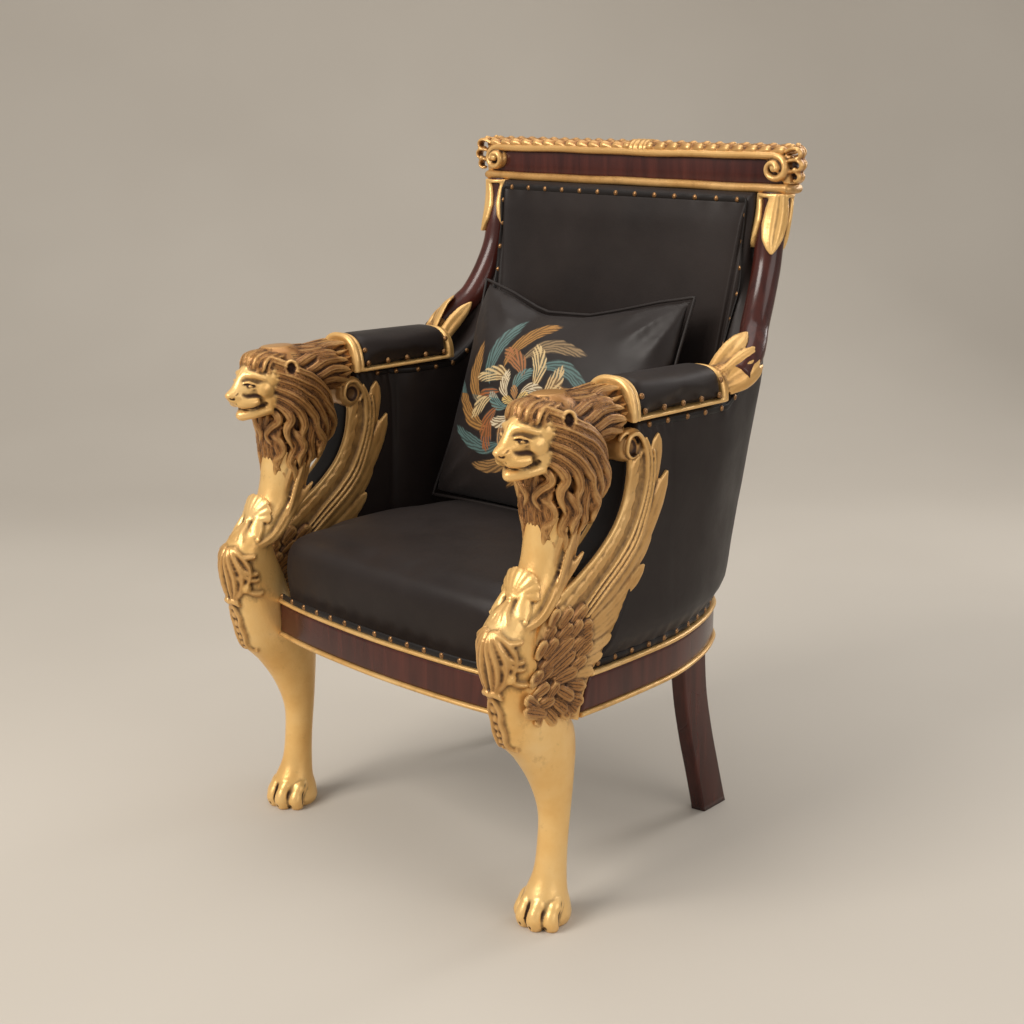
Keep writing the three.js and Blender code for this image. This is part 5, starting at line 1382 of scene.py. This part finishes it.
def add_seat():
    v, f = stuff(*seat_shape(), 9, 10)
    v[:, 2] = np.maximum(v[:, 2], 384.6)
    # The cover pulls down to the nails along the front.
    arc = v[:, 0]
    near_front = np.exp(-((v[:, 1] + 45) / 18) ** 2)
    low = np.exp(-((v[:, 2] - 402) / 12) ** 2)
    v[:, 1] += near_front * low * (1.2 - 1.2 * np.cos(TAU * arc / 39))
    ob = make_piece("seat_leather", v, f, ["seat_upholstery"])
    ob.data.materials.append(LEATHER)


def add_arm_pads():
    rings = []
    for y in np.concatenate([np.linspace(157, 172, 8), np.linspace(180, 328, 20), np.linspace(338, 351.5, 8)]):
        end = min(y - 157, 351.5 - y)
        round_end = 1 - 0.10 * max(0, 1 - end / 12) ** 2
        wide, high = 43.5 * (1 - 0.03 * max(0, 1 - end / 12) ** 2), 53 * round_end - 0.02 * (y - 240)
        ring = [(SUPPORT_X + a, y, 748 + b) for a, b in arch(36, wide, high, 0.66)]
        rings.append(ring)
    clay = Clay()
    clay.loft(rings)
    v, f = stuff(clay.v[0], clay.t[0], 4, 5)
    v[:, 2] = np.maximum(v[:, 2], 747.4)
    v[:, 1] = np.clip(v[:, 1], 155, 353.5)
    side = np.exp(-((v[:, 2] - 758) / 9) ** 2)
    v[:, 0] -= np.sign(v[:, 0] - SUPPORT_X) * side * (0.8 - 0.8 * np.cos(TAU * (v[:, 1] - 168) / 43))
    for sign, word in ((1, "right"), (-1, "left")):
        ob = make_piece(f"arm_leather_{word}", v * [sign, 1, 1], f if sign > 0 else f[:, ::-1], [f"arm_pad_{word}"])
        ob.data.materials.append(LEATHER)


PILLOW_CENTRE, PILLOW_LEAN = np.array([-6, 368, 692.0]), 0.30
CORNERS = {(-1, -1): (-246, -196), (1, -1): (232, -196), (-1, 1): (-224, 192), (1, 1): (232, 200)}


def pillow_spot(a, b, d):
    c, s = math.cos(PILLOW_LEAN), math.sin(PILLOW_LEAN)
    return np.stack([PILLOW_CENTRE[0] + a + 0 * b, PILLOW_CENTRE[1] + b * s - d * c, PILLOW_CENTRE[2] + b * c + d * s], -1)


def pillow_shape(u, v, d=0.0):
    """Outline of the cushion: sides drawn in between pointed corners and a chop in the top edge."""
    a = sum((1 + cu * u) * (1 + cv * v) / 4 * ca for (cu, cv), (ca, cb) in CORNERS.items())
    b = sum((1 + cu * u) * (1 + cv * v) / 4 * cb for (cu, cv), (ca, cb) in CORNERS.items())
    a = a * (1 - 0.055 * (1 - v ** 2) ** 1.2)
    b = b * (1 - 0.035 * (1 - u ** 2) ** 1.2)
    valley = ramp(u, [(-1, 0), (-0.7, 0.38), (-0.42, 0.86), (-0.3, 1), (0.1, 0.94), (0.3, 0.72), (0.7, 0.24), (1, 0)])
    chop = valley * np.clip((v + 0.4) / 1.4, 0, 1) ** 1.5
    b = b - 40 * chop
    return a, b, chop


def add_pillow():
    n = 56
    g = np.sin(np.linspace(-math.pi / 2, math.pi / 2, n))
    u, v = np.meshgrid(g, g, indexing="ij")
    a, b, chop = pillow_shape(u, v)
    puff = ((1 - u ** 2) * (1 - v ** 2)).clip(0) ** 0.42
    crease = np.exp(-((u + 0.34 + 0.25 * (1 - v)) / 0.12) ** 2) * np.clip((v + 0.1) / 1.1, 0, 1) ** 1.5
    thick = 66 * puff * (1 - 0.42 * crease) + 1.6
    # Folds gathered towards each corner.
    for cu in (-1, 1):
        for cv in (-1, 1):
            du, dv = cu - u, cv - v
            r = np.hypot(du, dv)
            theta = np.arctan2(np.abs(dv), np.abs(du))
            thick += 5.0 * np.exp(-((r - 0.34) / 0.2) ** 2) * np.cos(theta * 12 + cu + 2 * cv)
    front, back = pillow_spot(a, b, thick), pillow_spot(a, b, -thick * 0.6)
    idx = np.arange(n * n).reshape(n, n)
    q = np.stack([idx[:-1, :-1], idx[1:, :-1], idx[1:, 1:], idx[:-1, 1:]], -1).reshape(-1, 4)
    rim = np.concatenate([idx[:-1, 0], idx[-1, :-1], idx[:0:-1, -1], idx[0, :0:-1]])
    r2 = np.roll(rim, -1)
    quads = np.concatenate([q, q[:, ::-1] + n * n, np.stack([rim, rim + n * n, r2 + n * n, r2], -1)])
    pts = np.concatenate([front.reshape(-1, 3), back.reshape(-1, 3)])
    tris = np.concatenate([quads[:, :3], quads[:, [0, 2, 3]]])
    t = np.linspace(-1, 1, 90)
    loop = np.concatenate([np.stack([t, t * 0 - 1], -1)[:-1], np.stack([t * 0 + 1, t], -1)[:-1], np.stack([-t, t * 0 + 1], -1)[:-1], np.stack([t * 0 - 1, -t], -1)[:-1]])
    la, lb, _ = pillow_shape(loop[:, 0], loop[:, 1])
    path = pillow_spot(la, lb, 0 * la)
    pv, pf = stuff(pts, tris, 14, 8, path)
    rest = pv - PILLOW_CENTRE
    c, s = math.cos(PILLOW_LEAN), math.sin(PILLOW_LEAN)
    plane_a, plane_b, plane_d = rest[:, 0], rest[:, 1] * s + rest[:, 2] * c, -rest[:, 1] * c + rest[:, 2] * s
    on = (plane_d > 0).astype(float)
    prints = np.stack([(plane_a + 40) / 200, (plane_b + 12) / 176, on], -1)
    # Welt round the seam.
    along = unit(np.roll(path, -1, 0) - np.roll(path, 1, 0))
    nor = pillow_spot(0, 0, 1) - pillow_spot(0, 0, 0)
    side = np.cross(along, nor)
    k = np.linspace(0, TAU, 8, endpoint=False)
    rings = path[:, None] + 2.6 * (np.cos(k)[None, :, None] * side[:, None] + np.sin(k)[None, :, None] * nor)
    cord = Clay()
    cord.loft(rings, 0, True)
    all_v = np.vstack([pv, cord.v[0]])
    all_f = np.concatenate([pf[:, :3], pf[:, [0, 2, 3]], cord.t[0] + len(pv)])
    prints = np.vstack([prints, np.full((len(cord.v[0]), 3), [9.0, 9.0, 0.0])])
    ob = make_piece("scatter_cushion", all_v, all_f, ["loose_cushion"], {"print": prints})
    ob.data.materials.append(PRINT)


# ------------------------------------------------------------------ nails and gimp
def spaced(path, pitch):
    """Points at even steps along a polyline."""
    path = np.asarray(path, float)
    arc = np.concatenate([[0], np.cumsum(np.linalg.norm(np.diff(path, axis=0), axis=1))])
    count = max(2, int(round(arc[-1] / pitch)) + 1)
    s = np.linspace(0, arc[-1], count)
    return np.stack([np.interp(s, arc, path[:, k]) for k in range(path.shape[1])], -1)


def dome(clay, centre, out, r=4.7, high=3.4):
    out = unit(np.asarray(out, float))
    side = unit(np.cross(out, [0.13, 0.21, 1.0]))
    up = np.cross(out, side)
    k = np.linspace(0, TAU, 14, endpoint=False)
    rings = []
    for a in np.linspace(-0.25, 1.45, 7):
        rings.append(centre + out * (high * math.sin(a)) + r * math.cos(a) * (np.cos(k)[:, None] * side + np.sin(k)[:, None] * up))
    clay.loft(rings)


def add_nails(outer, inner):
    nails, gimp = Clay(), Clay()
    out = plan_out(outer[:, 20, :2])
    out3 = np.concatenate([out, np.zeros((len(out), 1))], 1)

    def level(grid, z):
        """Points of a grid at a height given for each station."""
        z = np.broadcast_to(z, len(grid))
        return np.array([[np.interp(zi, g[:, 2], g[:, k]) for k in range(3)] for g, zi in zip(grid, z)])

    def row(points, outs, pitch, start=0, stop=None, band=True):
        both = np.concatenate([points, outs], 1)[start:stop]
        even = spaced(both, pitch)
        for p in even:
            for m in ((1, 1, 1), (-1, 1, 1)):
                if m[0] < 0 and abs(p[0]) < 4:
                    continue
                dome(nails, p[:3] * m + p[3:] * m * 0.6, p[3:] * m)
        if band:
            half = Clay()
            fine = spaced(both, 5)
            half.sweep(fine[:, :3] + fine[:, 3:] * 0.3, [1.7] * len(fine), [5.2] * len(fine), np.cross(unit(np.gradient(fine[:, :3], axis=0)), fine[:, 3:]), 0, 10, 0, 0, 1.0)
            gimp.both_sides(half)

    row(level(outer, 393.5), out3, 38.5, 1)
    top = outer[:, -1, 2]
    inner_line = level(inner, top - 11)
    row(inner_line, -out3, 40, 12)
    outer_line = level(outer, top - 9)
    row(outer_line, out3, 43, 6, 62, True)
    # Front of the seat.
    front = spline([(0, -50.5), (100, -48), (190, -42.5), (250, -32)], 40)
    d = plan_out(front)
    pts = np.concatenate([front, np.full((40, 1), 393.5)], 1)
    row(pts, np.concatenate([d, np.zeros((40, 1))], 1), 38.5)
    # Sides and ends of the arm pads.
    for x, sx in ((SUPPORT_X + 44.2, 1), (SUPPORT_X - 44.2, -1)):
        for y in np.linspace(168, 342, 5):
            for m in (1, -1):
                dome(nails, np.array([x * m, y, 755.0]), (sx * m, 0, 0.15))
    for y, sy in ((160.5, 1), (349.5, -1)):
        for a, z in ((42, 777), (-42, 777)):
            for m in (1, -1):
                dome(nails, np.array([(SUPPORT_X + a) * m, y + sy * 2, z]), (np.sign(a) * m, 0, 0.3))
    v, t, _, _ = nails.arrays()
    ob = make_piece("nails", v, t)
    ob.data.materials.append(BRASS)
    v, t, _, _ = gimp.arrays()
    ob = make_piece("gimp", v, t)
    ob.data.materials.append(TRIM)


# ------------------------------------------------------------------ camera, stage, lights
def camera_and_light():
    az, pitch = math.radians(44.04), math.radians(14.75)
    cam = bpy.data.objects.new("camera", bpy.data.cameras.new("camera"))
    cam.data.lens = 56.25
    cam.data.sensor_width = 36
    cam.data.clip_start, cam.data.clip_end = 0.05, 60
    cam.location = place((1759, -1569, 1195))
    fwd = Vector((-math.sin(az) * math.cos(pitch), math.cos(az) * math.cos(pitch), -math.sin(pitch)))
    cam.rotation_mode = "QUATERNION"
    cam.rotation_quaternion = fwd.to_track_quat("-Z", "Y")
    bpy.context.scene.collection.objects.link(cam)
    bpy.context.scene.camera = cam
    # Floor that turns up into a wall, far enough behind for every view.
    away, across = np.array([-math.sin(az), math.cos(az)]), np.array([math.cos(az), math.sin(az)])
    run = [(-7.0, 0.0), (2.2, 0.0)]
    run += [(2.2 + 2.2 * math.sin(t), 2.2 - 2.2 * math.cos(t)) for t in np.linspace(0.1, math.pi / 2, 14)]
    run += [(4.4, 7.0)]
    v = [(*(away * d + across * s), h) for s in (-9, 9) for d, h in run]
    k = len(run)
    f = np.array([[i, i + 1, i + 1 + k, i + k] for i in range(k - 1)])
    mesh = raw_mesh("floor", np.array(v), f)
    mesh.shade_smooth()
    floor = bpy.data.objects.new("floor", mesh)
    bpy.context.scene.collection.objects.link(floor)
    m, nt, shader = new_material("backdrop")
    n = Nodes(nt)
    n.link(n.ramp(n.noise(1.2, 2, 0.5), [(0.3, (0.51, 0.468, 0.412)), (0.7, (0.54, 0.498, 0.440))]), shader.inputs["Base Color"])
    shader.inputs["Roughness"].default_value = 0.8
    shader.inputs["Specular IOR Level"].default_value = 0.2
    mesh.materials.append(m)
    world = bpy.data.worlds.new("world")
    bpy.context.scene.world = world
    world.use_nodes = True
    world.node_tree.nodes["Background"].inputs["Color"].default_value = (1.0, 0.97, 0.93, 1)
    world.node_tree.nodes["Background"].inputs["Strength"].default_value = 0.42
    view = bpy.context.scene.view_settings
    view.view_transform = "Standard"
    view.look = "None"

    def area(name, at, target, size, power, colour):
        light = bpy.data.lights.new(name, "AREA")
        light.shape = "RECTANGLE"
        light.size, light.size_y = size
        light.energy = power
        light.color = colour
        ob = bpy.data.objects.new(name, light)
        ob.location = at
        ob.rotation_mode = "QUATERNION"
        ob.rotation_quaternion = (Vector(target) - Vector(at)).to_track_quat("-Z", "Y")
        bpy.context.scene.collection.objects.link(ob)

    spot = lambda d, s, h: (*(away * d + across * s), h)
    area("key", spot(-2.0, -2.8, 3.2), (0, 0, 0.6), (2.0, 2.0), 150, (1.0, 0.95, 0.88))
    area("fill", spot(-2.2, 2.4, 1.8), (0, 0, 0.6), (2.2, 2.2), 30, (1.0, 0.96, 0.92))
    area("top", spot(0.4, 0.0, 3.4), (0, 0, 0.5), (2.4, 2.4), 34, (1.0, 0.98, 0.95))
    area("edge", spot(1.6, 2.2, 1.9), (0, 0, 0.7), (0.8, 2.0), 26, (1.0, 0.98, 0.96))



camera_and_light()
add_supports()
add_frame_woodwork()
add_arm_gilding()
add_post_leaves()
add_crest()
tub_outer, tub_inner = add_tub()
add_seat()
add_arm_pads()
add_pillow()
add_nails(tub_outer, tub_inner)
